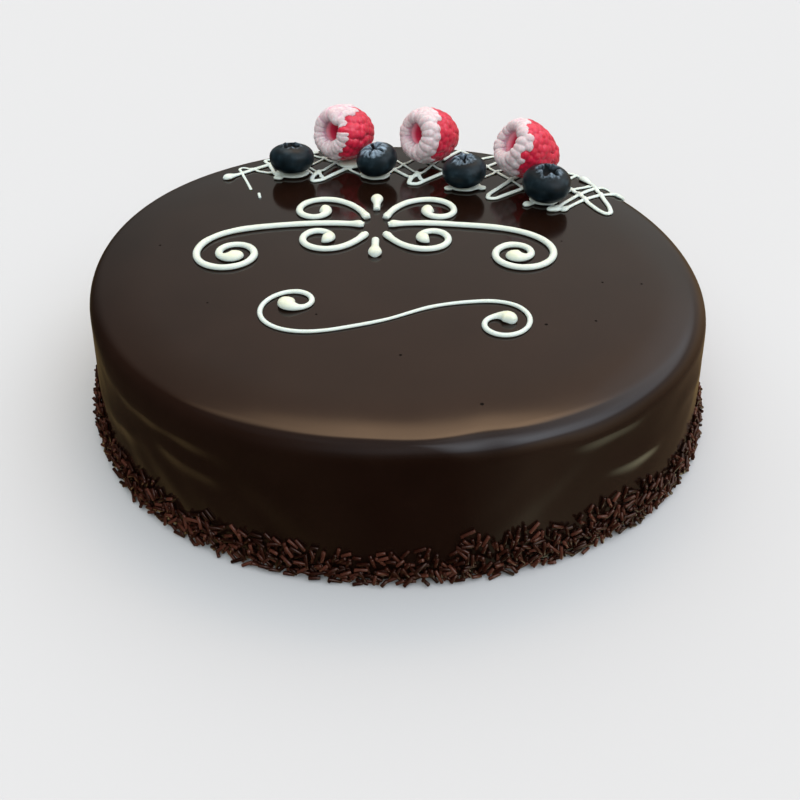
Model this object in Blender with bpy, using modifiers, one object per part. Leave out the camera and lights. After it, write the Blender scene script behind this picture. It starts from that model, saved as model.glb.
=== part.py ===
"""A round glazed torte with piped icing and fresh berries, as solids at real size.

Metres, +Z up. The origin is the centre of the cake's flat bottom. The berries stand along the
back rim, towards +Y, and the flourish faces the front, -Y.
"""

import math

import bmesh
import bpy
from mathutils import Matrix, Vector

MM = 0.001
GAP = 0.3 * MM  # clearance between pieces that touch on the real cake

# The cake: a turned body whose wall flares to the foot, a little out of round in plan.
CAKE_HEIGHT = 49.0 * MM
TOP_RADIUS = 105.5 * MM
FOOT_RADIUS = 108.3 * MM
SHOULDER_RADIUS = 5.8 * MM
FOOT_BEVEL = 1.2 * MM
CAKE_STEPS = 72
SHOULDER_STEPS = 4
OUT_OF_ROUND = (  # waves round the rim, cosine part, sine part
    (2, 1.18 * MM, -1.30 * MM),
    (4, -0.90 * MM, -0.68 * MM),
)

# Piped icing: beads that are flattened where they lie on the glaze.
BEAD_FLATNESS = 0.65
BEAD_EDGES = 6
FINE_BEAD_EDGES = 4
PEN_STEPS = 240
LONGEST_STATION = 8.0 * MM  # a pen path keeps a point at least this often
WIDEST_STATION_TURN = math.radians(28.0)
DROP_SHARES = (0.0, 0.25, 1.0, 1.75)  # stations along a drop, in its own radii from the end
DROP_TIP = 0.3  # the blunt tip's radius over the drop's
FLOURISH_HALF_WIDTH = 1.0 * MM
ORNAMENT_HALF_WIDTH = 1.3 * MM
ORNAMENT_CENTRE_X = -7.0 * MM
DAB_HEIGHT = 1.3 * MM
BERRY_LIFT = 1.9 * MM  # the berries stand on the dabs and the lattice lines

# The flourish and the ornament are pen paths: a start, a heading, a length, and the turning
# (1/m, left turns positive) at even steps along the path.
FLOURISH = {
    "start": (-36.0, -28.9),
    "heading": -103,
    "length": 179.6,
    "turning": (267, 202, 83, 89, 51, 3, 16, -22, -20, -97, -106, -182, -262),
    "drops": (3.0, 2.7),
}
ORNAMENT = {  # right-hand strokes, measured from the ornament's centre line
    "arch": {
        "start": (4.5, 23.5),
        "heading": 12,
        "length": 132,
        "turning": (-22, -12, -4, -14, -45, -75, -90, -105, -135, -190, -330),
        "drops": (1.8, 2.9),
    },
    "upper_curl": {
        "start": (3.5, 29.0),
        "heading": 72,
        "length": 58,
        "turning": (-20, -45, -75, -100, -140, -200, -350),
        "drops": (1.6, 2.5),
    },
    "lower_curl": {
        "start": (3.5, 16.5),
        "heading": -62,
        "length": 52,
        "turning": (15, 50, 90, 125, 165, 225, 370),
        "drops": (1.6, 2.5),
    },
}
ORNAMENT_PENDANTS = {"upper_drop": (36.0, 47.0), "lower_drop": (12.0, 0.0)}  # from y, to y
PENDANT_DROP = 2.4 * MM

# The lattice behind: zigzag passes of a thinner bead round the turning points, in millimetres.
LATTICE_PASSES = {
    "front": {
        "half_width": 1.0,
        "edges": BEAD_EDGES,
        "drops": (2.2, 1.9),
        "turns": (
            (-69.8, 64.6), (-52.3, 78.0), (-48.4, 64.6), (-38.5, 75.5), (-32.3, 62.8),
            (-14.5, 80.5), (-13.0, 63.0), (-3.5, 79.6), (6.5, 60.2), (29.0, 77.0),
            (21.5, 55.2), (51.5, 74.0), (37.6, 47.4), (62.0, 64.5), (48.8, 39.8),
            (81.0, 60.0), (60.8, 36.0),
        ),
    },
    "thin": {
        "half_width": 0.65,
        "edges": FINE_BEAD_EDGES,
        "drops": (0.8, 0.8),
        "turns": (
            (-56.6, 52.0), (-62.6, 68.5), (-64.6, 77.0), (-46.0, 67.0), (-29.0, 85.0),
            (-31.6, 67.4), (-25.3, 79.5), (-10.5, 62.5), (3.4, 80.0), (9.4, 68.0),
            (15.3, 78.0), (25.0, 58.0), (42.4, 88.3), (37.2, 77.0), (57.0, 45.0),
        ),
    },
    "rim": {
        "half_width": 0.85,
        "edges": FINE_BEAD_EDGES,
        "drops": (0.9, 0.9),
        "turns": (
            (-50.5, 73.0), (-55.0, 84.0), (-34.7, 89.0), (-20.0, 78.5), (-4.7, 98.6),
            (7.0, 80.0), (28.0, 95.0), (33.0, 82.0),
        ),
    },
    "loop": {
        "half_width": 1.0,
        "edges": FINE_BEAD_EDGES,
        "drops": (1.6, 2.6),
        "turns": (
            (64.0, 68.5), (74.5, 68.6), (69.5, 56.5), (80.4, 34.0), (76.0, 64.0),
        ),
    },
    "hook": {
        "half_width": 0.85,
        "edges": FINE_BEAD_EDGES,
        "drops": (1.8, 1.9),
        "turns": (
            (64.2, 36.4), (77.4, 49.0), (87.6, 51.0),
        ),
    },
}
BEND_RADIUS = 1.4 * MM
BEND_STEP = math.radians(75.0)
DABS = (  # x, y, half length and half width of the icing squeezed out under the berries
    (-41.5, 67.0, 7.5, 5.2),
    (-8.5, 64.6, 6.6, 4.6),
    (26.9, 54.6, 7.0, 4.6),
    (34.3, 54.9, 2.0, 1.7),
    (57.6, 41.0, 7.2, 4.8),
    (-18.0, 77.5, 5.5, 4.5),
)
FLECK = ((-53.4, 50.3), (-52.6, 46.8))
FLECK_HALF_WIDTH = 0.6 * MM

# Berries: x, y in millimetres, then their own sizes. The blueberries' crowns lean towards (x, y).
BLUEBERRIES = (
    {"at": (-41.5, 67.6), "width": 17.7, "height": 12.2, "lean": (0.0, 0.12)},
    {"at": (-7.5, 65.6), "width": 16.5, "height": 11.8, "lean": (-0.25, -0.12)},
    {"at": (26.9, 55.0), "width": 17.3, "height": 12.2, "lean": (-0.12, -0.05)},
    {"at": (57.6, 41.1), "width": 18.5, "height": 13.0, "lean": (0.05, -0.12)},
)
CROWN_LOBES = 5
CROWN_SHARE = 0.44  # crown radius over the berry's half width
CROWN_WAVE = 0.16
PIT_FLOOR = 0.62  # height of the pit's floor over the berry's half height
PIT_SHARE = 0.6  # radius of that floor over the crown's
PIT_DISH = 0.35 * MM
SKIN_TURNS = [math.radians(angle) for angle in range(34, 155, 24)]
BLUEBERRY_STEPS = 20
RASPBERRIES = (  # at: the axis at the widest ring; the open end faces azimuth, tilted up
    {"at": (-21.5, 79.4), "azimuth": 229, "tilt": 18.0, "radius": 11.1, "length": 23.4, "taper": 1.9},
    {"at": (12.9, 77.3), "azimuth": 219, "tilt": 16.0, "radius": 10.9, "length": 22.7, "taper": 1.8},
    {"at": (50.6, 62.6), "azimuth": 200, "tilt": 28.0, "radius": 11.2, "length": 25.4, "taper": 1.6},
)
RASPBERRY_WIDEST = 0.36  # share of the length between the open end and the widest ring
HOLLOW = ((0.0, 0.62), (0.24, 0.50), (0.42, 0.10), (0.56, 0.0))  # shares of radius, of length
LIP_DEPTH = 0.03  # the first and the last row of drupelets, as shares of the length
LAST_ROW = 0.95
LIP_SWELL = 1.35  # the lip narrows as on an ellipse this much longer than the widest ring's depth
DRUPELETS_ROUND = 16
DRUPELET_ROWS = 8
DRUPELET_BUMP = 0.45 * MM


def clear_scene():
    for obj in list(bpy.data.objects):
        bpy.data.objects.remove(obj, do_unlink=True)


def new_collection(name):
    collection = bpy.data.collections.new(name)
    bpy.context.scene.collection.children.link(collection)
    return collection


def make_material(name, colour, roughness):
    material = bpy.data.materials.new(name)
    material.use_nodes = True
    shader = material.node_tree.nodes["Principled BSDF"]
    shader.inputs["Base Color"].default_value = (*colour, 1.0)
    shader.inputs["Roughness"].default_value = roughness
    shader.inputs["Metallic"].default_value = 0.0
    material.diffuse_color = (*colour, 1.0)
    return material


def add_object(name, data, collection, material):
    obj = bpy.data.objects.new(name, data)
    collection.objects.link(obj)
    data.materials.append(material)
    return obj


def evaluated_mesh(obj):
    """The object's mesh with its modifiers applied, welded and in its own space."""
    graph = bpy.context.evaluated_depsgraph_get()
    graph.update()
    mesh = bpy.data.meshes.new_from_object(obj.evaluated_get(graph))
    shape = bmesh.new()
    shape.from_mesh(mesh)
    bmesh.ops.remove_doubles(shape, verts=shape.verts, dist=0.001 * MM)
    shape.to_mesh(mesh)
    shape.free()
    return mesh


def turned(name, profile, steps, collection, material):
    """A solid turned round +Z from (radius, height) points, top to bottom down the outer side."""
    outline = bpy.data.meshes.new(name + "_profile")
    points = [(radius, 0.0, height) for radius, height in profile]
    outline.from_pydata(points, [(i, i + 1) for i in range(len(points) - 1)], [])
    lathe = add_object(name + "_profile", outline, collection, material)
    screw = lathe.modifiers.new("turn", "SCREW")
    screw.steps = screw.render_steps = steps
    screw.use_merge_vertices = True
    screw.merge_threshold = 0.01 * MM
    mesh = evaluated_mesh(lathe)
    bpy.data.objects.remove(lathe)
    solid = bpy.data.objects.new(name, mesh)
    collection.objects.link(solid)
    mesh.shade_smooth()
    return solid


def plan_offset(angle):
    """How far the cake's rim stands out of a true circle at this angle."""
    return sum(
        cosine * math.cos(waves * angle) + sine * math.sin(waves * angle)
        for waves, cosine, sine in OUT_OF_ROUND
    )


def glaze_height(x, y):
    """Height of the glaze over a point of the plan: flat, then down round the shoulder."""
    radius = math.hypot(x, y) - plan_offset(math.atan2(y, x))
    over = min(max(radius - (TOP_RADIUS - SHOULDER_RADIUS), 0.0), SHOULDER_RADIUS)
    return CAKE_HEIGHT - SHOULDER_RADIUS + math.sqrt(SHOULDER_RADIUS**2 - over**2)


def make_cake(collection, material):
    shoulder = []
    for step in range(SHOULDER_STEPS + 1):
        angle = 0.5 * math.pi * step / SHOULDER_STEPS
        shoulder.append((
            TOP_RADIUS - SHOULDER_RADIUS * (1.0 - math.sin(angle)),
            CAKE_HEIGHT - SHOULDER_RADIUS * (1.0 - math.cos(angle)),
        ))
    profile = [(0.0, CAKE_HEIGHT)] + shoulder + [
        (FOOT_RADIUS, FOOT_BEVEL),
        (FOOT_RADIUS - FOOT_BEVEL, 0.0),
        (0.0, 0.0),
    ]
    cake = turned("cake", profile, CAKE_STEPS, collection, material)
    for vertex in cake.data.vertices:
        radius = math.hypot(vertex.co.x, vertex.co.y)
        if radius > SHOULDER_RADIUS:
            angle = math.atan2(vertex.co.y, vertex.co.x)
            stretch = (radius + plan_offset(angle)) / radius
            vertex.co.x *= stretch
            vertex.co.y *= stretch


def pen_path(start, heading, length, turning, mirror=1.0, centre_x=0.0):
    """Points of a pen path in metres, thinned to even turns: from (x, y) and length in mm."""
    step = length * MM / PEN_STEPS
    x, y = start[0] * MM, start[1] * MM
    angle = math.radians(heading)
    points = [(x, y)]
    turned_by = run = 0.0
    for i in range(PEN_STEPS):
        place = (i + 0.5) / PEN_STEPS * (len(turning) - 1)
        low = int(place)
        bend = turning[low] + (place - low) * (turning[low + 1] - turning[low])
        angle += bend * step
        x += math.cos(angle) * step
        y += math.sin(angle) * step
        turned_by += abs(bend) * step
        run += step
        if turned_by > WIDEST_STATION_TURN or run > LONGEST_STATION or i == PEN_STEPS - 1:
            points.append((x, y))
            turned_by = run = 0.0
    return [(centre_x + mirror * px, py) for px, py in points]


def zigzag_path(turns):
    """Straight arms between turning points in mm, each point rounded by a small bend."""
    corners = [Vector(turn) * MM for turn in turns]
    path = [tuple(corners[0])]
    for before, corner, after in zip(corners, corners[1:], corners[2:]):
        arriving = (corner - before).normalized()
        leaving = (after - corner).normalized()
        turn = arriving.angle_signed(leaving)
        outwards = (arriving - leaving).normalized()
        centre = corner - outwards * BEND_RADIUS
        pieces = max(1, round(abs(turn) / BEND_STEP))
        for i in range(pieces + 1):
            spoke = outwards.copy()
            spoke.rotate(Matrix.Rotation(-turn * (i / pieces - 0.5), 2))
            path.append(tuple(centre + spoke * BEND_RADIUS))
    path.append(tuple(corners[-1]))
    return path


def swollen_ends(path, half_width, first_drop, last_drop):
    """(x, y, bead radius) along a path whose ends swell to round drops of these radii."""
    places = [Vector(point) for point in path]
    runs = [0.0]
    for here, there in zip(places, places[1:]):
        runs.append(runs[-1] + (there - here).length)
    total = runs[-1]

    def at(run):
        for i in range(len(runs) - 1):
            if run <= runs[i + 1]:
                share = (run - runs[i]) / (runs[i + 1] - runs[i])
                return places[i].lerp(places[i + 1], share)
        return places[-1]

    def radius_at(run):
        for drop, distance in ((first_drop, run), (last_drop, total - run)):
            if distance < drop:
                return math.sqrt(max(drop**2 - (drop - distance) ** 2, (DROP_TIP * drop) ** 2))
            if distance < 2.0 * drop:
                ball = math.sqrt(max(drop**2 - (distance - drop) ** 2, 0.0))
                return max(half_width, ball)
        return half_width

    near_first = [share * first_drop for share in DROP_SHARES]
    near_last = [total - share * last_drop for share in reversed(DROP_SHARES)]
    middle = [run for run in runs if near_first[-1] + MM < run < near_last[0] - MM]
    return [(*at(run), radius_at(run)) for run in near_first + middle + near_last]


def make_bead(name, stations, collection, material, edges=BEAD_EDGES):
    """A flattened bead of icing along (x, y, radius) stations, lying just over the glaze."""
    curve = bpy.data.curves.new(name, "CURVE")
    curve.dimensions = "3D"
    curve.bevel_depth = 1.0
    curve.bevel_resolution = edges // 2 - 2
    curve.use_fill_caps = True
    spline = curve.splines.new("POLY")
    spline.points.add(len(stations) - 1)
    for point, (x, y, radius) in zip(spline.points, stations):
        height = glaze_height(x, y)
        slope = max(height - glaze_height(x * 1.01, y * 1.01), 0.0) / (0.01 * math.hypot(x, y))
        lift = GAP + BEAD_FLATNESS * radius * math.sqrt(1.0 + slope**2)
        point.co = (x, y, (height + lift) / BEAD_FLATNESS, 1.0)
        point.radius = radius
    bead = add_object(name, curve, collection, material)
    bead.scale.z = BEAD_FLATNESS
    return bead


def make_stroke(name, pen, half_width, collection, material, mirror=1.0, centre_x=0.0):
    path = pen_path(pen["start"], pen["heading"], pen["length"], pen["turning"], mirror, centre_x)
    first_drop, last_drop = pen["drops"]
    stations = swollen_ends(path, half_width, first_drop * MM, last_drop * MM)
    return make_bead(name, stations, collection, material)


def make_ornament(collection, material):
    for name, pen in ORNAMENT.items():
        for side, mirror in (("left", -1.0), ("right", 1.0)):
            make_stroke(
                f"{name}_{side}", pen, ORNAMENT_HALF_WIDTH, collection, material,
                mirror, ORNAMENT_CENTRE_X,
            )
    for name, (near, far) in ORNAMENT_PENDANTS.items():
        path = [(ORNAMENT_CENTRE_X, near * MM), (ORNAMENT_CENTRE_X, far * MM)]
        stations = swollen_ends(path, ORNAMENT_HALF_WIDTH, 1.2 * MM, PENDANT_DROP)
        make_bead(name, stations, collection, material)


def mesh_copy(obj, collection):
    """The object as a mesh object of the same name, and the original removed."""
    name = obj.name
    bpy.context.view_layer.update()
    mesh = evaluated_mesh(obj)
    mesh.transform(obj.matrix_world)
    bpy.data.objects.remove(obj)
    copy = bpy.data.objects.new(name, mesh)
    collection.objects.link(copy)
    return copy


def make_dab(name, x, y, half_length, half_width, collection, material):
    """A low pool of icing with a rounded edge."""
    mesh = bpy.data.meshes.new(name)
    shape = bmesh.new()
    bmesh.ops.create_uvsphere(shape, u_segments=8, v_segments=4, radius=1.0)
    shape.to_mesh(mesh)
    shape.free()
    dab = add_object(name, mesh, collection, material)
    size = Vector((half_length * MM, half_width * MM, 0.5 * DAB_HEIGHT))
    place = Vector((x * MM, y * MM, CAKE_HEIGHT + GAP + 0.5 * DAB_HEIGHT))
    mesh.transform(Matrix.Translation(place) @ Matrix.Diagonal((*size, 1.0)))
    return dab


def make_lattice(collection, helpers, material):
    """Every pass of the lattice and every dab, joined where they cross."""
    pieces = []
    for name, plan in LATTICE_PASSES.items():
        first_drop, last_drop = (drop * MM for drop in plan["drops"])
        stations = swollen_ends(
            zigzag_path(plan["turns"]), plan["half_width"] * MM, first_drop, last_drop
        )
        bead = make_bead("pass_" + name, stations, helpers, material, plan["edges"])
        pieces.append(mesh_copy(bead, helpers))
    for number, dab in enumerate(DABS, 1):
        pieces.append(make_dab(f"dab_{number}", *dab, helpers, material))
    joined = add_object("lattice", pieces[0].data.copy(), collection, material)
    bpy.data.objects.remove(pieces.pop(0))
    for piece in pieces:
        piece.hide_render = True
        piece.display_type = "WIRE"
    union = joined.modifiers.new("join", "BOOLEAN")
    union.operation = "UNION"
    union.operand_type = "COLLECTION"
    union.collection = helpers
    union.solver = "EXACT"
    union.use_self = True
    return joined


def settle(obj, height):
    """Lifts or lowers the object until its lowest point is at this height."""
    bpy.context.view_layer.update()
    lowest = min((obj.matrix_world @ vertex.co).z for vertex in obj.data.vertices)
    obj.location.z += height - lowest


def make_blueberry(name, plan, collection, material):
    """A flattened ball with a five-lobed crown round a small pit."""
    half_width = 0.5 * plan["width"] * MM
    half_height = 0.5 * plan["height"] * MM
    crown = CROWN_SHARE * half_width
    floor = PIT_FLOOR * half_height
    profile = [(0.0, floor), (PIT_SHARE * crown, floor + PIT_DISH), (crown, half_height)]
    for turn in SKIN_TURNS:
        profile.append((half_width * math.sin(turn), half_height * math.cos(turn)))
    profile.append((0.0, -half_height))
    berry = turned(name, profile, BLUEBERRY_STEPS, collection, material)
    for vertex in berry.data.vertices:
        radius = math.hypot(vertex.co.x, vertex.co.y)
        if vertex.co.z > 0.0 and abs(radius - 0.8 * crown) < 0.3 * crown:
            angle = math.atan2(vertex.co.y, vertex.co.x)
            stretch = 1.0 + CROWN_WAVE * math.cos(CROWN_LOBES * angle)
            vertex.co.x *= stretch
            vertex.co.y *= stretch
    leaning = Vector((*plan["lean"], 1.0))
    berry.rotation_euler = leaning.to_track_quat("Z", "Y").to_euler()
    berry.location = (plan["at"][0] * MM, plan["at"][1] * MM, CAKE_HEIGHT)
    settle(berry, CAKE_HEIGHT + BERRY_LIFT)
    return berry


def raspberry_profile(radius, length, taper):
    """From the bottom of the hollow, up and over the lip, then down the outside to the tip."""
    widest = RASPBERRY_WIDEST * length
    rows = [(width * radius, widest - depth * length) for width, depth in HOLLOW]
    for row in range(DRUPELET_ROWS):
        share = LIP_DEPTH + (LAST_ROW - LIP_DEPTH) * row / (DRUPELET_ROWS - 1)
        height = widest - share * length
        if height > 0.0:
            rows.append((radius * math.sqrt(1.0 - (height / (LIP_SWELL * widest)) ** 2), height))
        else:
            down = -height / (length - widest)
            rows.append((radius * math.sqrt(1.0 - down**taper), height))
    rows.append((0.0, widest - length))
    return rows


def make_raspberry(name, plan, collection, material):
    """A hollow berry on its side, its outside laid with staggered drupelets."""
    radius, length = plan["radius"] * MM, plan["length"] * MM
    profile = raspberry_profile(radius, length, plan["taper"])
    first_row = len(profile) - 1 - DRUPELET_ROWS
    berry = turned(name, profile, 2 * DRUPELETS_ROUND, collection, material)
    shape = bmesh.new()
    shape.from_mesh(berry.data)
    bumps = {}
    for vertex in shape.verts:
        ring = math.hypot(vertex.co.x, vertex.co.y)
        row = min(
            range(len(profile)),
            key=lambda i: abs(profile[i][0] - ring) + abs(profile[i][1] - vertex.co.z),
        ) - first_row
        if 0 <= row < DRUPELET_ROWS:
            angle = math.atan2(vertex.co.y, vertex.co.x)
            bump = DRUPELET_BUMP * math.cos(DRUPELETS_ROUND * angle + math.pi * row)
            vertex.co.xy *= (ring + bump) / ring
            bumps[vertex] = bump
    for face in list(shape.faces):
        low = [vertex for vertex in face.verts if bumps.get(vertex, 1.0) < 0.0]
        if len(face.verts) == 4 and len(low) == 2:
            bmesh.utils.face_split(face, low[0], low[1])
    shape.to_mesh(berry.data)
    shape.free()
    azimuth, tilt = math.radians(plan["azimuth"]), math.radians(plan["tilt"])
    facing = Vector((
        math.cos(azimuth) * math.cos(tilt), math.sin(azimuth) * math.cos(tilt), math.sin(tilt)
    ))
    berry.rotation_euler = facing.to_track_quat("Z", "Y").to_euler()
    berry.location = (plan["at"][0] * MM, plan["at"][1] * MM, CAKE_HEIGHT)
    settle(berry, CAKE_HEIGHT + BERRY_LIFT)
    return berry


def main():
    clear_scene()
    torte = new_collection("torte")
    helpers = new_collection("lattice_pieces")
    glaze = make_material("glaze", (0.014, 0.006, 0.004), 0.12)
    icing = make_material("icing", (0.82, 0.84, 0.76), 0.45)
    blue = make_material("blueberry_skin", (0.012, 0.018, 0.03), 0.45)
    red = make_material("raspberry_flesh", (0.55, 0.03, 0.06), 0.35)

    make_cake(torte, glaze)
    make_stroke("flourish", FLOURISH, FLOURISH_HALF_WIDTH, torte, icing)
    make_ornament(torte, icing)
    make_lattice(torte, helpers, icing)
    fleck = [tuple(Vector(point) * MM) for point in FLECK]
    stations = swollen_ends(fleck, FLECK_HALF_WIDTH, FLECK_HALF_WIDTH, FLECK_HALF_WIDTH)
    make_bead("fleck", stations, torte, icing)
    for number, plan in enumerate(BLUEBERRIES, 1):
        make_blueberry(f"blueberry_{number}", plan, torte, blue)
    for number, plan in enumerate(RASPBERRIES, 1):
        make_raspberry(f"raspberry_{number}", plan, torte, red)


main()
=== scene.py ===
"""The looks of a glazed torte with piped icing, fresh berries and sprinkles round its foot.

Every piece is modelled finer here than in the CAD solid that it stands for. Metres, +Z up;
the plan sizes that the CAD model gives in millimetres are repeated in millimetres.
"""

import itertools
import math

import bpy
import numpy as np
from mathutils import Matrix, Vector


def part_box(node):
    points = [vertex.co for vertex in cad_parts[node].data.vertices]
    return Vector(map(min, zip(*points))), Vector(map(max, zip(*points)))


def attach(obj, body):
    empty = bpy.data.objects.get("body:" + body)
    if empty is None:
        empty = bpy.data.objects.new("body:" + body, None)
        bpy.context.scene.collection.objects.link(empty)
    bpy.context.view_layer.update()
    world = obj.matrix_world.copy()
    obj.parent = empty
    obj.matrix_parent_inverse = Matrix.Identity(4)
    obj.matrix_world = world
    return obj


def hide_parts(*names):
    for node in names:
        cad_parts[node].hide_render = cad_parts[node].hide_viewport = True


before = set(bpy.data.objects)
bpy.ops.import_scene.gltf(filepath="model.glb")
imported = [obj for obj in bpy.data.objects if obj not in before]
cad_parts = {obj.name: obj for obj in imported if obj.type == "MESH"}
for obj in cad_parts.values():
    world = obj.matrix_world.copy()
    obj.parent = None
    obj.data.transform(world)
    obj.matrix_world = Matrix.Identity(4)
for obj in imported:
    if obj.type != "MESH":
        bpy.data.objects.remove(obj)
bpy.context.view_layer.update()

MM = 0.001
TURN = 2.0 * math.pi

# The camera stands in front of the cake and looks down at it.
CAMERA_AT = (0.001819, -0.304064, 0.217804)
CAMERA_DOWN = math.radians(37.29)
LENS = 44.181
SENSOR = 36.0
PALE = (0.83, 0.83, 0.83)  # what the camera sees of the world

# The cake's glaze: nearly flat on top, falling a little before a soft shoulder, then a wall
# that flares to the foot.
CAKE_HEIGHT = 49.0 * MM
TOP_RADIUS = 105.5 * MM
FOOT_RADIUS = 108.3 * MM
OUT_OF_ROUND = (  # waves round the rim, cosine part, sine part
    (2, 1.18 * MM, -1.30 * MM),
    (4, -0.90 * MM, -0.68 * MM),
)
FALL_START = 0.84  # share of the flat's radius where the top starts to fall
RIM_TILT = math.radians(8.0)  # slope of the top just before the shoulder
WALL_TILT = math.radians(86.3)
SHOULDER_ARC = 10.0 * MM  # length of the bend from top to wall
SHOULDER_ARC_CHANGE = 2.4 * MM  # softer on the right, sharper on the left
FOOT_BEVEL = 1.0 * MM
CAKE_STEPS = 540
TOP_RINGS = 44
SHOULDER_RINGS = 30
WALL_RINGS = 44
RIM_DENTS = ((-86.0, 6.0, -1.7), (-76.0, 4.5, 1.7), (-112.0, 9.0, 0.8))  # degrees, spread, longer bend
FOLD_WAVES = ((8, 1.2, 0.14), (19, 2.4, 0.10), (36, 3.6, 0.05))  # waves round, waves up, depth in mm
WALL_RADIUS = 106.5 * MM
WALL_RUNS = (  # where glaze ran over glaze: ends (degrees, height), half width, thickness, in mm
    ((-53.5, 27.3), (-41.0, 26.0), 3.1, 0.56),
    ((-62.5, 42.2), (-46.5, 41.8), 3.0, 0.48),
    ((-36.0, 33.0), (-24.0, 31.5), 3.4, 0.34),
    ((-153.0, 41.5), (-120.0, 38.5), 4.3, 0.56),
    ((-160.0, 20.0), (-138.0, 27.0), 3.8, 0.30),
    ((-133.0, 32.0), (-119.0, 28.0), 3.4, 0.30),
)
RIPPLE_WAVES = ((3, 3.0, 0.05), (6, 6.0, 0.02))  # waves along x and y in a span, depth in mm
RIPPLE_SPAN = 0.2
GLAZE_BUBBLES = (  # x, y, radius of the small burst bubbles, in millimetres
    (-84.0, 9.0, 0.55), (34.0, 0.0, 0.6), (48.0, -43.0, 0.65), (64.0, -41.0, 0.55),
    (-25.0, -37.0, 0.5), (2.0, -60.0, 0.6), (25.0, -84.0, 0.7), (70.0, -17.0, 0.5),
    (83.0, -18.0, 0.5), (-61.0, -30.0, 0.45), (-47.0, 24.0, 0.5), (60.0, 12.0, 0.45),
)
BUBBLE_SPREAD = 0.55  # the size of the rings below against the radius
BUBBLE_RINGS = ((1.5, 0.0), (1.2, 0.10), (1.0, 0.16), (0.8, 0.09), (0.45, 0.02))  # out, up
BUBBLE_STEPS = 24

# Icing strokes: D-shaped beads that lie on the glaze.
BEAD_SIDES = 20
STATION_GAP = 0.45  # millimetres between a bead's rings, away from its ends
END_STATIONS = 10
BELLY = 0.30  # share of a bead's height at which it is widest
PEN_STEPS = 480
FLOURISH_HALF_WIDTHS = (1.0, 0.90, 0.80, 0.69, 0.61, 0.68, 0.80, 0.90, 0.94)  # evenly along it
ORNAMENT_HALF_WIDTH = 1.3
ORNAMENT_CENTRE_X = -7.0
FLOURISH = {  # start in millimetres, heading in degrees, turning in radians a metre, end drops
    "start": (-35.4, -29.4),
    "heading": -103,
    "length": 179.6,
    "turning": (267, 202, 83, 89, 51, 3, 16, -22, -20, -97, -106, -182, -262),
    "drops": (3.0, 2.7),
}
ORNAMENT = {  # right-hand strokes, measured from the ornament's centre line
    "arch": {
        "start": (4.5, 23.5),
        "heading": 12,
        "length": 132,
        "turning": (-22, -12, -4, -14, -45, -75, -90, -105, -135, -190, -330),
        "drops": (1.8, 2.9),
    },
    "upper_curl": {
        "start": (3.5, 29.0),
        "heading": 72,
        "length": 58,
        "turning": (-20, -45, -75, -100, -140, -200, -350),
        "drops": (1.6, 2.5),
    },
    "lower_curl": {
        "start": (3.5, 16.5),
        "heading": -62,
        "length": 52,
        "turning": (15, 50, 90, 125, 165, 225, 370),
        "drops": (1.6, 2.5),
    },
}
PENDANTS = {"upper_drop": (36.0, 47.0), "lower_drop": (12.0, 0.0)}  # from y, to y
PENDANT_DROPS = (1.2, 2.4)
FLECK = ((-53.4, 50.3), (-52.6, 46.8))
FLECK_HALF_WIDTH = 0.6

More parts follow.
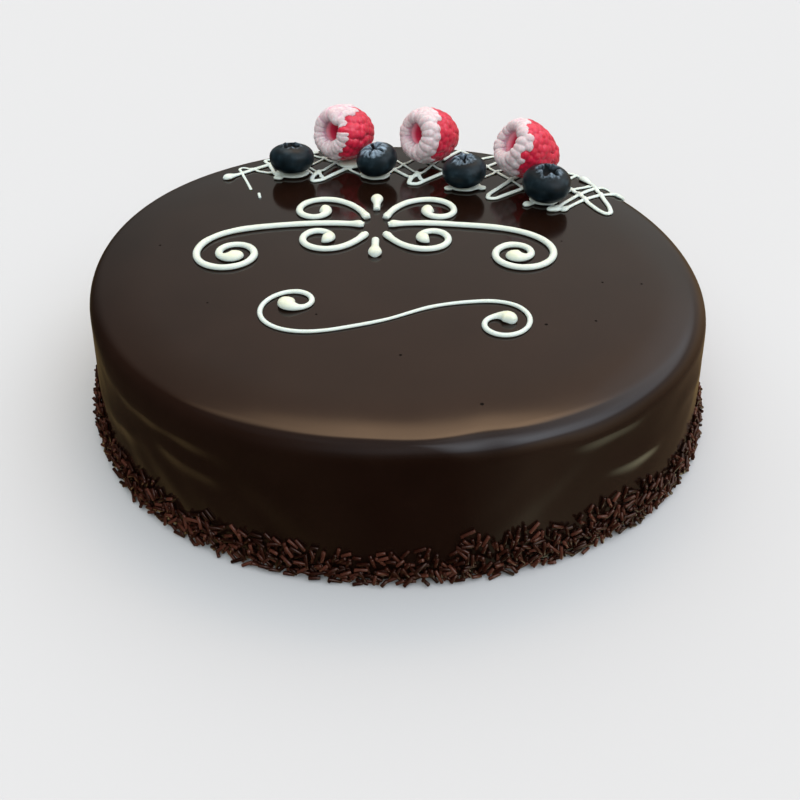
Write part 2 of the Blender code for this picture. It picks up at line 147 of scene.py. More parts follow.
# The lattice: each strand's half width, its two end drops and the points that it runs through.
STRANDS = (
    (1.0, (2.2, 1.0), ((-69.2, 64.2), (-62.4, 69.4), (-57.4, 73.8), (-51.2, 78.8), (-44.0, 83.0))),
    (0.8, (0.9, 1.0), ((-50.5, 84.3), (-55.0, 84.0), (-52.4, 78.0), (-49.0, 68.5), (-46.0, 64.5))),
    (0.65, (0.7, 0.8), ((-56.8, 54.0), (-61.5, 66.8), (-64.4, 75.2), (-62.8, 76.4), (-55.6, 71.2),
        (-46.0, 67.5))),
    (0.6, (0.6, 0.7), ((-37.0, 77.5), (-31.6, 70.0))),
    (0.6, (0.6, 0.7), ((-36.5, 73.5), (-32.0, 66.5))),
    (1.0, (1.2, 0.8), ((-30.7, 70.3), (-33.6, 65.0), (-33.2, 61.4), (-29.6, 62.6), (-20.1, 73.8),
        (-13.5, 81.0))),
    (0.7, (1.0, 0.7), ((-29.4, 64.6), (-30.9, 69.8), (-25.2, 79.2), (-20.0, 87.0))),
    (0.6, (0.6, 0.6), ((-38.0, 73.0), (-30.4, 83.4), (-26.5, 89.0))),
    (0.65, (0.8, 0.7), ((-37.0, 90.0), (-30.0, 83.8), (-25.3, 79.7), (-17.8, 71.9), (-11.5, 65.5))),
    (0.8, (0.8, 1.5), ((-38.0, 84.5), (-33.2, 92.6))),
    (1.0, (1.1, 0.9), ((9.3, 69.6), (6.0, 63.5), (5.2, 59.2), (8.6, 58.6), (18.9, 69.0),
        (27.0, 77.5))),
    (0.85, (1.0, 0.9), ((9.0, 68.5), (10.6, 62.0))),
    (0.85, (0.8, 1.1), ((-4.0, 77.0), (-0.2, 72.4), (6.8, 63.6))),
    (0.6, (0.6, 0.8), ((-4.0, 88.0), (1.0, 80.8), (9.3, 68.7))),
    (0.6, (0.6, 0.6), ((-4.5, 67.0), (-0.2, 72.8), (5.1, 79.8), (10.5, 87.0))),
    (0.65, (0.9, 0.6), ((9.5, 67.5), (14.2, 75.8), (18.0, 82.5))),
    (0.6, (0.6, 0.6), ((11.5, 82.0), (15.4, 76.8), (19.0, 72.4), (24.5, 65.5))),
    (0.9, (0.9, 0.9), ((19.5, 82.0), (27.6, 94.6), (30.2, 90.5), (33.0, 84.0))),
    (0.8, (0.8, 0.8), ((29.5, 79.0), (35.7, 83.8), (42.5, 88.6))),
    (0.8, (0.8, 0.8), ((31.5, 70.0), (37.6, 75.8), (46.0, 84.0))),
    (0.65, (0.6, 1.1), ((32.5, 81.5), (37.6, 75.3), (41.3, 70.4), (46.4, 63.3), (50.7, 55.2))),
    (0.65, (0.6, 0.6), ((30.5, 61.0), (36.1, 66.1), (43.1, 71.9), (49.0, 77.0))),
    (0.95, (0.8, 0.9), ((52.0, 69.0), (45.9, 62.3), (36.4, 49.5), (35.8, 46.0), (39.0, 46.0),
        (50.4, 54.9), (60.0, 62.0))),
    (1.0, (1.7, 1.0), ((49.0, 40.2), (55.0, 43.1), (62.0, 50.0))),
    (0.85, (1.9, 1.3), ((60.2, 35.4), (64.3, 41.5), (71.7, 49.5), (78.4, 56.0), (83.2, 59.6),
        (85.8, 57.6))),
    (0.85, (1.6, 2.1), ((63.0, 35.5), (72.8, 44.9), (79.9, 50.2), (86.4, 53.0), (90.2, 50.8))),
    (0.7, (0.9, 0.9), ((58.6, 42.5), (62.0, 36.8))),
    (0.8, (0.8, 1.0), ((64.0, 49.0), (69.5, 53.8), (77.8, 58.9))),
    (1.0, (1.0, 2.3), ((66.0, 57.5), (69.4, 53.1), (72.4, 48.5), (74.0, 42.5), (77.0, 36.0),
        (79.6, 32.6), (81.6, 34.2), (81.9, 39.5), (80.4, 50.7), (78.6, 60.8), (75.6, 67.9))),
    (0.9, (1.0, 1.5), ((63.0, 69.8), (70.4, 72.4), (74.0, 71.8), (74.8, 69.6))),
    (0.8, (0.8, 0.8), ((65.5, 60.5), (70.3, 65.8), (74.0, 71.0))),
)
STRAND_FLATNESS = 0.72  # a strand's height over that of a stroke of the same width
STRAND_EASE = 0.8  # over how many millimetres a strand's bends are eased
STRAND_STEP = 0.2
CROSSING_LIFT = 0.55  # how far a strand rises over icing laid before it
CROSSING_REACH = 2.6
OWN_TAIL = 30  # steps of its own path that a strand doesn't rise over
DABS = (  # x, y, half length, half width, height of the icing squeezed out under the berries
    (-41.5, 68.4, 6.9, 4.5, 1.8),
    (-8.2, 66.8, 6.5, 4.4, 1.8),
    (27.6, 56.0, 6.4, 4.4, 1.8),
    (34.0, 55.0, 1.9, 1.5, 1.4),
    (57.6, 43.9, 6.0, 4.4, 1.8),
    (59.6, 36.2, 2.3, 1.5, 1.5),
    (-18.0, 77.5, 5.5, 4.5, 2.0),
    (-47.0, 64.4, 2.1, 1.5, 1.4),
    (21.0, 54.6, 1.9, 1.5, 1.4),
)
DAB_STEPS = 48
DAB_LEVELS = 18
VOXEL = 0.27 * MM

# Berries: x, y in millimetres, then their own sizes, as in the CAD model.
BLUEBERRIES = (
    {"at": (-41.5, 67.6), "width": 17.7, "height": 12.2, "lean": (0.0, 0.12)},
    {"at": (-7.5, 65.6), "width": 16.5, "height": 11.8, "lean": (-0.25, -0.12)},
    {"at": (26.9, 55.0), "width": 17.3, "height": 12.2, "lean": (-0.12, -0.05)},
    {"at": (57.6, 42.7), "width": 18.5, "height": 13.0, "lean": (0.05, -0.12)},
)
# The calyx in millimetres: its radius, the rim's height, the pit's radius and depth, and how far
# its slits cut out beyond the pit. Then how narrow the slits are, degrees that the star is turned,
# the sepals' height, the bloom's strength, and the top half's height over the bottom's.
CROWN_COLUMNS = ("radius", "rim", "pit", "depth", "slit", "narrow", "turn", "sepals", "bloom", "top")
CROWNS = [dict(zip(CROWN_COLUMNS, row)) for row in (
    (4.2, 0.3, 3.3, 2.2, 0.6, 1, 10, 0.35, 0.5, 0.8),
    (5.0, 0.5, 1.2, 1.6, 3.3, 2, 40, 0.35, 0.8, 0.84),
    (4.2, 0.45, 1.3, 1.6, 2.3, 2, 75, 0.8, 0.7, 0.82),
    (4.9, 0.5, 2.9, 2.4, 1.5, 1, 20, 0.45, 0.6, 0.87),
)]
BLUEBERRY_STEPS = 180
BLUEBERRY_RINGS = 120
BLUEBERRY_SQUARENESS = (0.84, 0.86)  # powers that fill out the top and the bottom half
RASPBERRIES = (
    # at: the axis at the widest ring; the open end faces azimuth, tilted up. lip: degrees round
    # from the top over the back, how far the frost reaches behind the lip, how high the frosted
    # drupelets stand against the others, how far the lip swells out and how far it closes in over
    # the mouth. Lengths in millimetres.
    {
        "at": (-21.5, 79.4), "azimuth": 229, "tilt": 18.0, "radius": 11.1, "length": 23.4,
        "taper": 1.9, "lip": (
            (0, 10.0, 0.8, 1.0, 1.6), (25, 10.0, 0.6, 0.6, 0.6), (60, 9.0, 0.7, 0.2, 0.0),
            (100, 8.0, 0.8, 0.2, 0.0), (150, 6.0, 0.8, 0.5, 0.0), (200, 5.0, 1.0, 0.3, 0.8),
            (235, 1.8, 1.2, 0.0, 1.6), (300, 1.8, 1.3, 0.1, 2.0), (313, 0.2, 1.0, -0.8, 1.2),
            (324, 6.0, 0.8, 0.2, 2.0), (338, 10.0, 0.8, 1.1, 2.6), (360, 10.0, 0.8, 1.0, 1.6),
        ),
    },
    {
        "at": (12.9, 77.3), "azimuth": 219, "tilt": 16.0, "radius": 10.9, "length": 22.7,
        "taper": 1.8, "lip": (
            (0, 7.0, 0.9, 0.3, 0.2), (60, 8.0, 0.8, 0.0, 0.0), (120, 8.0, 0.8, 0.2, 0.0),
            (180, 8.5, 0.9, 0.3, 0.2), (215, 8.0, 1.0, 0.3, -0.6), (250, 4.6, 1.4, 0.6, -1.6),
            (300, 4.8, 1.5, 0.8, -1.6), (335, 6.0, 1.2, 0.5, -0.5), (360, 7.0, 0.9, 0.3, 0.2),
        ),
    },
    {
        "at": (50.6, 62.6), "azimuth": 200, "tilt": 28.0, "radius": 11.2, "length": 25.6,
        "taper": 1.3, "lip": (
            (0, 4.5, 0.9, 0.0, 0.0), (60, 6.0, 0.9, -0.2, 0.0), (120, 7.0, 1.0, 0.0, 0.0),
            (180, 8.5, 1.0, 0.4, 0.4), (215, 7.5, 1.1, 0.4, 0.6), (245, 5.0, 1.3, 0.3, 0.0),
            (275, 3.6, 1.4, 0.0, -1.3), (300, 3.6, 1.5, 0.0, -1.3), (340, 4.0, 1.0, 0.1, -0.5),
            (360, 4.5, 0.9, 0.0, 0.0),
        ),
    },
)
RASPBERRY_WIDEST = 0.36  # share of the length between the open end and the widest ring
LIP_SWELL = 1.35
MERIDIAN_STEPS = 400
MERIDIAN_EASE = 14  # steps over which the meridian's corners are eased
HOLLOW_NARROWING = 0.13  # of the hollow, from nothing at the top to twice this at the bottom
MOUTH_REACH = 3.6  # how far along the lip's closing is felt
LIP_REACH = 3.2  # how far along the lip's swelling is felt
FROST_HEIGHT = 0.45
DENT_DEPTH = 0.16
DRUPELET_HEIGHT = 1.1
# A row of drupelets: its pitch round, each one's half width as a share of that pitch, its half
# length along, how unevenly they sit along, and the way to the next row, in millimetres.
LIP_ROW = {"pitch": 2.4, "across": 0.80, "along": 2.7, "uneven": 0.1, "next": 2.9}
OTHER_ROW = {"pitch": 2.9, "across": 0.74, "along": 2.1, "uneven": 0.2, "next": 2.55}
RASPBERRY_ROUND = 240
RASPBERRY_ALONG = 120

# Sprinkles: short rods of chocolate pressed on round the foot.
ROD_LENGTH = 4.1 * MM
ROD_RADIUS = 0.56 * MM
ROD_SIDES = 8
ROD_CHAMFER = 0.14 * MM
ROD_END_SHARE = 0.78  # of the radius at a rod's very end
ROD_CELL = 5.0 * MM  # width of the cells in which a rod's neighbours are looked up
ROD_GAP = 1.75 * ROD_RADIUS  # least distance between the middles of rods of one layer
FLATTER_BELOW = 3.0 * MM  # rods near the foot lie flatter
BAND_TOPS = (  # degrees round from the right, height of the band's upper edge in millimetres
    (0, 14.0), (40, 12.5), (90, 15.0), (135, 12.0), (180, 14.0), (210, 12.0), (226, 14.0),
    (235, 12.4), (240, 14.0), (254, 13.5), (261, 13.0), (264, 9.5), (268, 12.5), (275, 15.0),
    (278, 9.0), (282, 19.0), (288, 16.0), (300, 15.0), (309, 18.0), (316, 15.0), (322, 11.0),
    (330, 12.0), (345, 15.0), (360, 14.0),
)
SPRINKLE_LAYERS = (  # tries, how far the rods stand off the glaze, share of the band, tilt out
    {"tries": 9000, "stand": 0.62 * MM, "reach": 1.0, "tilt": 0.10},
    {"tries": 7000, "stand": 1.40 * MM, "reach": 0.86, "tilt": 0.30},
    {"tries": 3600, "stand": 2.10 * MM, "reach": 0.55, "tilt": 0.40},
)

FLOOR_HALF_SIZE = 4.0

# The lamps: power, where from, degrees that they spread, colour.
LAMPS = {
    "key": (3.0, (-0.1, 0.45, 1.0), 115.0, (0.94, 1.0, 0.995)),
    "fill": (1.6, (-0.2, -0.8, 0.55), 60.0, (0.89, 0.98, 1.0)),
}

# The room that is mirrored in the glaze: radiance by elevation in degrees, for each side.
ZENITH = (0.46, 0.46, 0.47)
GROUND = (0.004, 0.003, 0.002)
ROOM_BACK = (
    (-90, GROUND), (-55, (0.05, 0.03, 0.01)), (-36, (0.22, 0.15, 0.06)),
    (-10, (0.16, 0.11, 0.05)), (0, (0.12, 0.10, 0.07)),
    (15, (0.45, 0.46, 0.44)), (25, (0.58, 0.57, 0.53)), (33, (0.76, 0.63, 0.55)),
    (38, (0.90, 0.70, 0.57)), (44, (1.02, 0.76, 0.61)), (48, (1.35, 0.97, 0.73)),
    (53, (4.6, 3.1, 2.0)), (60, (5.4, 3.7, 2.4)), (65, (0.9, 0.72, 0.6)), (71, ZENITH), (90, ZENITH),
)
ROOM_FRONT = (
    (-90, GROUND), (-20, (0.012, 0.008, 0.005)), (0, (0.03, 0.025, 0.02)),
    (25, (0.16, 0.155, 0.15)), (48, (0.48, 0.48, 0.50)), (65, (0.55, 0.54, 0.56)), (90, ZENITH),
)
ROOM_RIGHT = (  # the window
    (-90, GROUND), (-62, (0.10, 0.07, 0.045)), (-52, (1.1, 1.05, 0.70)),
    (-46, (1.1, 1.05, 0.70)), (-37, (0.17, 0.12, 0.075)), (-20, (0.19, 0.13, 0.085)),
    (-6, (0.40, 0.28, 0.18)), (8, (0.62, 0.48, 0.36)), (22, (0.60, 0.56, 0.54)),
    (32, (1.6, 1.7, 1.85)), (47, (1.8, 1.9, 2.05)), (58, (1.45, 1.5, 1.6)),
    (72, (1.15, 1.18, 1.25)), (83, (0.7, 0.7, 0.72)), (90, ZENITH),
)
ROOM_LEFT = (
    (-90, GROUND), (-62, (0.02, 0.013, 0.008)), (-52, (0.66, 0.46, 0.20)),
    (-45, (0.66, 0.46, 0.20)), (-36, (0.05, 0.035, 0.02)), (-10, (0.04, 0.03, 0.02)),
    (10, (0.04, 0.035, 0.03)), (50, (0.06, 0.05, 0.045)), (68, (0.2, 0.19, 0.19)), (90, ZENITH),
)


def smoothstep(x):
    x = np.clip(x, 0.0, 1.0)
    return x * x * (3.0 - 2.0 * x)


def new_piece(name, points, faces, material):
    """A smooth mesh from an (n, 3) array of points and arrays of faces of 3 or 4 corners."""
    mesh = bpy.data.meshes.new(name)
    mesh.vertices.add(len(points))
    mesh.vertices.foreach_set("co", np.asarray(points, np.float32).ravel())
    corners = np.concatenate([np.asarray(part, np.int32).ravel() for part in faces])
    sizes = np.concatenate([np.full(len(part), part.shape[1]) for part in faces])
    mesh.loops.add(len(corners))
    mesh.loops.foreach_set("vertex_index", corners)
    mesh.polygons.add(len(sizes))
    starts = np.concatenate([[0], np.cumsum(sizes)[:-1]]).astype(np.int32)
    mesh.polygons.foreach_set("loop_start", starts)
    mesh.update(calc_edges=True)
    mesh.validate()
    mesh.shade_smooth()
    mesh.materials.append(material)
    piece = bpy.data.objects.new(name, mesh)
    bpy.context.scene.collection.objects.link(piece)
    return piece


def round_angles(count):
    """Evenly spaced angles of a full turn, from 0."""
    return np.arange(count) * TURN / count


def ring_faces(rings, steps):
    """Faces between closed rings of points, stored ring after ring, wound outwards."""
    here = np.arange(rings - 1)[:, None] * steps + np.arange(steps)[None, :]
    there = np.arange(rings - 1)[:, None] * steps + (np.arange(steps)[None, :] + 1) % steps
    return np.stack([here, there, there + steps, here + steps], axis=-1).reshape(-1, 4)


def fan_faces(centre, first, steps, flipped=False):
    """Triangles from a centre point to a closed ring of points."""
    near = first + np.arange(steps)
    far = first + (np.arange(steps) + 1) % steps
    sides = (far, near) if flipped else (near, far)
    return np.stack([np.full(steps, centre), *sides], axis=-1)


def closed_rings(rings, top, bottom):
    """Points and faces of a closed solid from (rings, steps, 3) points and its two end points."""
    count, steps, _ = rings.shape
    points = np.concatenate([rings.reshape(-1, 3), [top], [bottom]])
    faces = [
        ring_faces(count, steps)[:, ::-1],
        fan_faces(count * steps, 0, steps),
        fan_faces(count * steps + 1, (count - 1) * steps, steps, flipped=True),
    ]
    return points, faces


def joined(solids):
    """Points and faces of several solids as one."""
    faces, first = [], 0
    for points, parts in solids:
        faces += [part + first for part in parts]
        first += len(points)
    return np.concatenate([points for points, _ in solids]), faces


def run_length(path):
    """Distance along a path at each of its points."""
    return np.concatenate([[0.0], np.cumsum(np.hypot(*np.diff(path, axis=0).T))])


def points_along(path, run, at):
    """Points of a path at these distances along it."""
    return np.stack([np.interp(at, run, path[:, i]) for i in (0, 1)], axis=-1)


def blurred(points, spread, step, beyond):
    """Evenly spaced points, eased; beyond(end, part) mirrors the part next to an end past it."""
    reach = int(3 * spread / step)
    weights = np.exp(-0.5 * (np.arange(-reach, reach + 1) * step / spread) ** 2)
    weights /= weights.sum()
    before = beyond(points[0], points[reach:0:-1])
    after = beyond(points[-1], points[-2 : -reach - 2 : -1])
    padded = np.concatenate([before, points, after])
    return np.stack([np.convolve(padded[:, i], weights, "valid") for i in (0, 1)], axis=-1)


def turned_from(angle, middle):
    """How far each angle is turned from the middle one, between -pi and pi."""
    return (angle - middle + math.pi) % TURN - math.pi


def soft_noise(u, v, waves, seed, least=-1.0):
    """Smooth noise between about -1 and 1: cosines of (u cycles, v cycles, strength)."""
    draw = np.random.default_rng(seed)
    total = 0.0
    for u_cycles, v_cycles, strength in waves:
        for _ in range(3):
            phase = draw.uniform(0.0, TURN)
            across = round(u_cycles * draw.uniform(0.7, 1.3))
            along = v_cycles * draw.uniform(least, 1.0)
            total = total + strength / 3.0 * np.cos(TURN * (across * u + along * v) + phase)
    return total


def line_noise(along, waves, seed):
    """Smooth noise along one direction, from (cycles, strength) waves."""
    return soft_noise(along, 0.0 * along, [(cycles, 0, strength) for cycles, strength in waves], seed)


# ---------------------------------------------------------------- materials


def new_material(name, base, roughness, **settings):
    """A Principled material; further sockets are set by name, with _ for a space."""
    material = bpy.data.materials.new(name)
    material.use_nodes = True
    shader = material.node_tree.nodes["Principled BSDF"]
    settings.update(Base_Color=(*base, 1.0), Roughness=roughness)
    for socket, value in settings.items():
        shader.inputs[socket.replace("_", " ")].default_value = value
    return material, material.node_tree, shader


def add_node(tree, kind, links=(), **values):
    """A new node with values set by attribute or socket name, and sockets linked."""
    node = tree.nodes.new(kind)
    for name, value in values.items():
        if hasattr(node, name):
            setattr(node, name, value)
        else:
            node.inputs[name.replace("_", " ")].default_value = value
    for socket, source in dict(links).items():
        tree.links.new(source, node.inputs[socket])
    return node


def feed(tree, socket, value):
    """Link a socket to another, or set it to a number or to the three numbers of a colour."""
    if isinstance(value, bpy.types.NodeSocket):
        tree.links.new(value, socket)
    else:
        socket.default_value = (*value, 1.0) if isinstance(value, tuple) else value


def noise(tree, scale, detail, roughness=0.5, stretch=(1.0, 1.0, 1.0)):
    """Noise in object space, with scale in cycles a metre."""
    place = add_node(tree, "ShaderNodeTexCoord").outputs["Object"]
    mapping = add_node(tree, "ShaderNodeMapping", {"Vector": place}, Scale=stretch)
    texture = add_node(
        tree, "ShaderNodeTexNoise", {"Vector": mapping.outputs["Vector"]},
        Scale=scale, Detail=detail, Roughness=roughness,
    )
    return texture.outputs["Fac"]


def ramp(tree, factor, stops):
    """A colour ramp from (position, (red, green, blue)) stops."""
    node = add_node(tree, "ShaderNodeValToRGB", {"Fac": factor})
    elements = node.color_ramp.elements
    while len(elements) < len(stops):
        elements.new(0.5)
    for element, (position, colour) in zip(elements, stops):
        element.position = position
        element.color = (*colour, 1.0)
    return node.outputs["Color"]


def mottled(tree, scale, detail, dark, light, roughness=0.5):
    """Noise between two colours."""
    return ramp(tree, noise(tree, scale, detail, roughness), ((0.3, dark), (0.7, light)))


def remap(tree, value, low, high, to_low, to_high):
    node = add_node(
        tree, "ShaderNodeMapRange", {"Value": value},
        From_Min=low, From_Max=high, To_Min=to_low, To_Max=to_high,
    )
    return node.outputs["Result"]


def maths(tree, operation, first, second=0.0):
    """A maths node; each side is a socket or a number."""
    node = add_node(tree, "ShaderNodeMath", operation=operation)
    for socket, value in zip(node.inputs, (first, second)):
        feed(tree, socket, value)
    return node.outputs["Value"]


def blend_colours(tree, factor, first, second, blend_type="MIX"):
    """A colour mix; each colour is a socket or three numbers."""
    node = add_node(tree, "ShaderNodeMix", data_type="RGBA", blend_type=blend_type)
    feed(tree, node.inputs["Factor"], factor)
    colours = [socket for socket in node.inputs if socket.type == "RGBA"]
    for socket, colour in zip(colours, (first, second)):
        feed(tree, socket, colour)
    return next(socket for socket in node.outputs if socket.type == "RGBA")


def bump(tree, shader, height, distance, strength):
    """Fine relief from a height between 0 and 1 over this distance."""
    node = add_node(tree, "ShaderNodeBump", {"Height": height}, Strength=strength, Distance=distance)
    tree.links.new(node.outputs["Normal"], shader.inputs["Normal"])


def attribute(tree, name):
    return add_node(tree, "ShaderNodeAttribute", attribute_name=name).outputs["Fac"]


def glaze_material():
    """Near-black glaze, a little duller in smears that run down it."""
    material, tree, shader = new_material(
        "chocolate_glaze", (0.0118, 0.0054, 0.0034), 0.1, IOR=1.4
    )
    colour = mottled(tree, 38.0, 5.0, (0.0066, 0.0026, 0.0015), (0.0094, 0.0040, 0.0024))
    tree.links.new(colour, shader.inputs["Base Color"])
    smear = noise(tree, 60.0, 6.0, 0.6, stretch=(1.0, 1.0, 0.35))
    tree.links.new(remap(tree, smear, 0.3, 0.7, 0.085, 0.14), shader.inputs["Roughness"])
    return material


def shaded_bubble_material():
    """The dull dish that a burst bubble leaves in the glaze, painted darker than the glaze round it as
    painted shade in the pit.
    """
    # painted shade: a darker colour than the glaze, for the pit's shadow
    material, tree, shader = new_material(
        "burst_bubble", (0.003, 0.002, 0.0015), 0.8, Specular_IOR_Level=0.1
    )
    shade = mottled(tree, 900.0, 2.0, (0.002, 0.001, 0.001), (0.005, 0.003, 0.002))
    tree.links.new(shade, shader.inputs["Base Color"])
    return material


def icing_material():
    """Ivory icing that is creamier where it lies thick."""
    thin, thick = (0.535, 0.59, 0.55), (0.60, 0.61, 0.48)
    material, tree, shader = new_material(
        "ivory_icing", thin, 0.42, Subsurface_Weight=0.25, Subsurface_Radius=(1.0, 0.85, 0.6),
        Subsurface_Scale=1.0 * MM,
    )
    place = add_node(tree, "ShaderNodeTexCoord")
    height = add_node(tree, "ShaderNodeSeparateXYZ", {"Vector": place.outputs["Object"]})
    low, high = CAKE_HEIGHT + 1.0 * MM, CAKE_HEIGHT + 2.6 * MM
    depth = remap(tree, height.outputs["Z"], low, high, 0.0, 1.0)
    body = blend_colours(tree, depth, thin, thick)
    mottle = mottled(tree, 500.0, 4.0, (0.94, 0.94, 0.93), (1.0, 1.0, 1.0))
    tree.links.new(blend_colours(tree, 1.0, body, mottle, "MULTIPLY"), shader.inputs["Base Color"])
    bump(tree, shader, noise(tree, 900.0, 3.0), 0.05 * MM, 0.5)
    return material


def sprinkle_material():
    """Chocolate from nearly black to mid brown, by each rod's tone, with a warm tint on its
    reflections that is painted reflected light.
    """
    material, tree, shader = new_material(
        "chocolate_rods", (0.055, 0.02, 0.014), 0.38, IOR=1.5, Specular_IOR_Level=0.5,
        # painted reflection: the warm specular tint stands in for warm light reflected onto the rods
        Specular_Tint=(1.0, 0.78, 0.66, 1.0),
    )
    tone = attribute(tree, "tone")
    colour = ramp(tree, tone, (
        (0.0, (0.007, 0.0015, 0.0008)),
        (0.55, (0.022, 0.0051, 0.0029)),
        (1.0, (0.066, 0.0200, 0.0125)),
    ))
    grain = mottled(tree, 1500.0, 4.0, (0.8, 0.8, 0.8), (1.1, 1.1, 1.1))
    tree.links.new(blend_colours(tree, 1.0, colour, grain, "MULTIPLY"), shader.inputs["Base Color"])
    tree.links.new(remap(tree, tone, 0.0, 1.0, 0.28, 0.16), shader.inputs["Roughness"])
    bump(tree, shader, noise(tree, 1800.0, 3.0), 0.05 * MM, 0.6)
    return material


def raspberry_material():
    """Red flesh with painted shade in the grooves between drupelets, and in the hollow pale pink at
    the mouth darkening to deep red as painted shade, under patchy frost.
    """
    material, tree, shader = new_material(
        "raspberry_flesh", (0.6, 0.04, 0.09), 0.3, Subsurface_Weight=0.35,
        Subsurface_Radius=(2.4, 0.5, 0.6), Subsurface_Scale=1.0 * MM, Sheen_Weight=0.08,
        Sheen_Tint=(1.0, 0.75, 0.8, 1.0),
    )
    frost = attribute(tree, "frost")
    groove = attribute(tree, "groove")
    hollow = attribute(tree, "hollow")
    flesh = mottled(tree, 330.0, 4.0, (0.43, 0.007, 0.028), (0.59, 0.018, 0.056))
    # painted shade: the flesh darkens to deep red between the drupelets
    flesh = blend_colours(tree, maths(tree, "MULTIPLY", groove, 0.5), flesh, (0.34, 0.008, 0.026))
    # painted shade: the hollow darkens from pale pink at the mouth to deep red further in
    inside = ramp(tree, hollow, (
        (0.0, (0.82, 0.54, 0.59)),
        (0.14, (0.80, 0.30, 0.38)),
        (0.32, (0.68, 0.045, 0.105)),
        (1.0, (0.40, 0.009, 0.03)),
    ))
    flesh = blend_colours(tree, remap(tree, hollow, 0.0, 0.1, 0.0, 1.0), flesh, inside)
    dust = mottled(tree, 900.0, 5.0, (0.475, 0.345, 0.365), (0.61, 0.53, 0.53), 0.6)
    # painted shade: the frost turns a darker pink between the drupelets
    dust = blend_colours(tree, maths(tree, "MULTIPLY", groove, 0.75), dust, (0.50, 0.22, 0.32))
    crumb = maths(tree, "SUBTRACT", noise(tree, 1300.0, 5.0, 0.7), 0.5)
    cover = maths(tree, "ADD", frost, maths(tree, "MULTIPLY", crumb, 0.9))
    cover = remap(tree, cover, 0.42, 0.6, 0.0, 1.0)
    tree.links.new(blend_colours(tree, cover, flesh, dust), shader.inputs["Base Color"])
    tree.links.new(remap(tree, cover, 0.0, 1.0, 0.3, 0.75), shader.inputs["Roughness"])
    grain = maths(tree, "MULTIPLY", noise(tree, 2200.0, 4.0, 0.7), cover)
    bump(tree, shader, grain, 0.12 * MM, 0.7)
    return material


def blueberry_material():
    """Blue-black skin under patches of bloom, which are strongest round the crown; the calyx pit is
    painted near black, a painted shade in the hole.
    """
    material, tree, shader = new_material(
        "blueberry_skin", (0.006, 0.009, 0.012), 0.42, Specular_IOR_Level=0.2
    )
    crown = attribute(tree, "crown")
    pit = attribute(tree, "pit")
    skin = ramp(tree, noise(tree, 190.0, 5.0, 0.6), (
        (0.32, (0.0024, 0.0048, 0.006)),
        (0.52, (0.005, 0.0105, 0.014)),
        (0.72, (0.017, 0.030, 0.038)),
    ))
    patches = maths(tree, "SUBTRACT", noise(tree, 520.0, 6.0, 0.7), 0.5)
    bloom = maths(tree, "ADD", crown, maths(tree, "MULTIPLY", patches, 1.5))
    bloom = remap(tree, bloom, 0.3, 1.1, 0.0, 1.0)
    skin = blend_colours(tree, bloom, skin, (0.23, 0.30, 0.37))
    # painted shade: the calyx pit's hole is darkened to near black
    skin = blend_colours(tree, pit, skin, (0.002, 0.003, 0.004))
    tree.links.new(skin, shader.inputs["Base Color"])
    rough = remap(tree, maths(tree, "ADD", bloom, pit), 0.0, 1.0, 0.36, 0.75)
    tree.links.new(rough, shader.inputs["Roughness"])
    bump(tree, shader, noise(tree, 700.0, 4.0), 0.08 * MM, 0.5)
    return material


# ---------------------------------------------------------------- the glazed cake


def plan_offset(angle):
    """How far the cake's rim stands out of a true circle at this angle."""
    return sum(
        cosine * np.cos(waves * angle) + sine * np.sin(waves * angle)
        for waves, cosine, sine in OUT_OF_ROUND
    )


def shoulder_arc(angle):
    """Length of the bend at this angle: softest at the right and front right."""
    arc = SHOULDER_ARC + SHOULDER_ARC_CHANGE * np.cos(angle + math.radians(40.0))
    for degrees, spread, longer in RIM_DENTS:
        apart = np.degrees(turned_from(angle, math.radians(degrees)))
        arc = arc + longer * MM * np.exp(-((apart / spread) ** 2))
    return arc


def glaze_profile(angle):
    """Radii (less the plan offset) and heights down the glaze at each angle, centre first."""
    bend = np.linspace(0.0, 1.0, SHOULDER_RINGS)
    slope = RIM_TILT + (WALL_TILT - RIM_TILT) * smoothstep(bend)
    middle = 0.5 * (slope[1:] + slope[:-1])
    out = np.concatenate([[0.0], np.cumsum(np.cos(middle))]) / (SHOULDER_RINGS - 1)
    down = np.concatenate([[0.0], np.cumsum(np.sin(middle))]) / (SHOULDER_RINGS - 1)
    arc = shoulder_arc(angle)[:, None]
    flat = TOP_RADIUS - out[-1] * arc
    share = np.linspace(0.02, 1.0, TOP_RINGS)[None, :]
    fall = np.clip((share - FALL_START) / (1.0 - FALL_START), 0.0, 1.0)
    drop = 0.5 * RIM_TILT * (1.0 - FALL_START) * flat * fall**2
    top_r, top_z = share * flat, CAKE_HEIGHT - drop
    bend_r = flat + arc * out[1:]
    bend_z = top_z[:, -1:] - arc * down[1:]
    wall = np.linspace(0.0, 1.0, WALL_RINGS)[None, 1:]
    low = bend_z[:, -1:]
    wall_r = bend_r[:, -1:] + (FOOT_RADIUS - bend_r[:, -1:]) * wall
    wall_z = low + (FOOT_BEVEL - low) * wall
    return (
        np.concatenate([top_r, bend_r, wall_r], axis=1),
        np.concatenate([top_z, bend_z, wall_z], axis=1),
    )


def wall_run(angle, height, start, end, half_width):
    """The shape of one run of glaze on the wall, 1 at its middle and 0 away from it."""
    apart = turned_from(angle, 0.5 * math.radians(start[0] + end[0]))
    across, above = WALL_RADIUS * apart / MM, height / MM - 0.5 * (start[1] + end[1])
    long, rise = WALL_RADIUS * math.radians(end[0] - start[0]) / MM, end[1] - start[1]
    length = math.hypot(long, rise)
    ahead = (across * long + above * rise) / length
    beside = (above * long - across * rise) / length
    return np.exp(-((beside / half_width) ** 2) - (ahead / (0.5 * length)) ** 4)


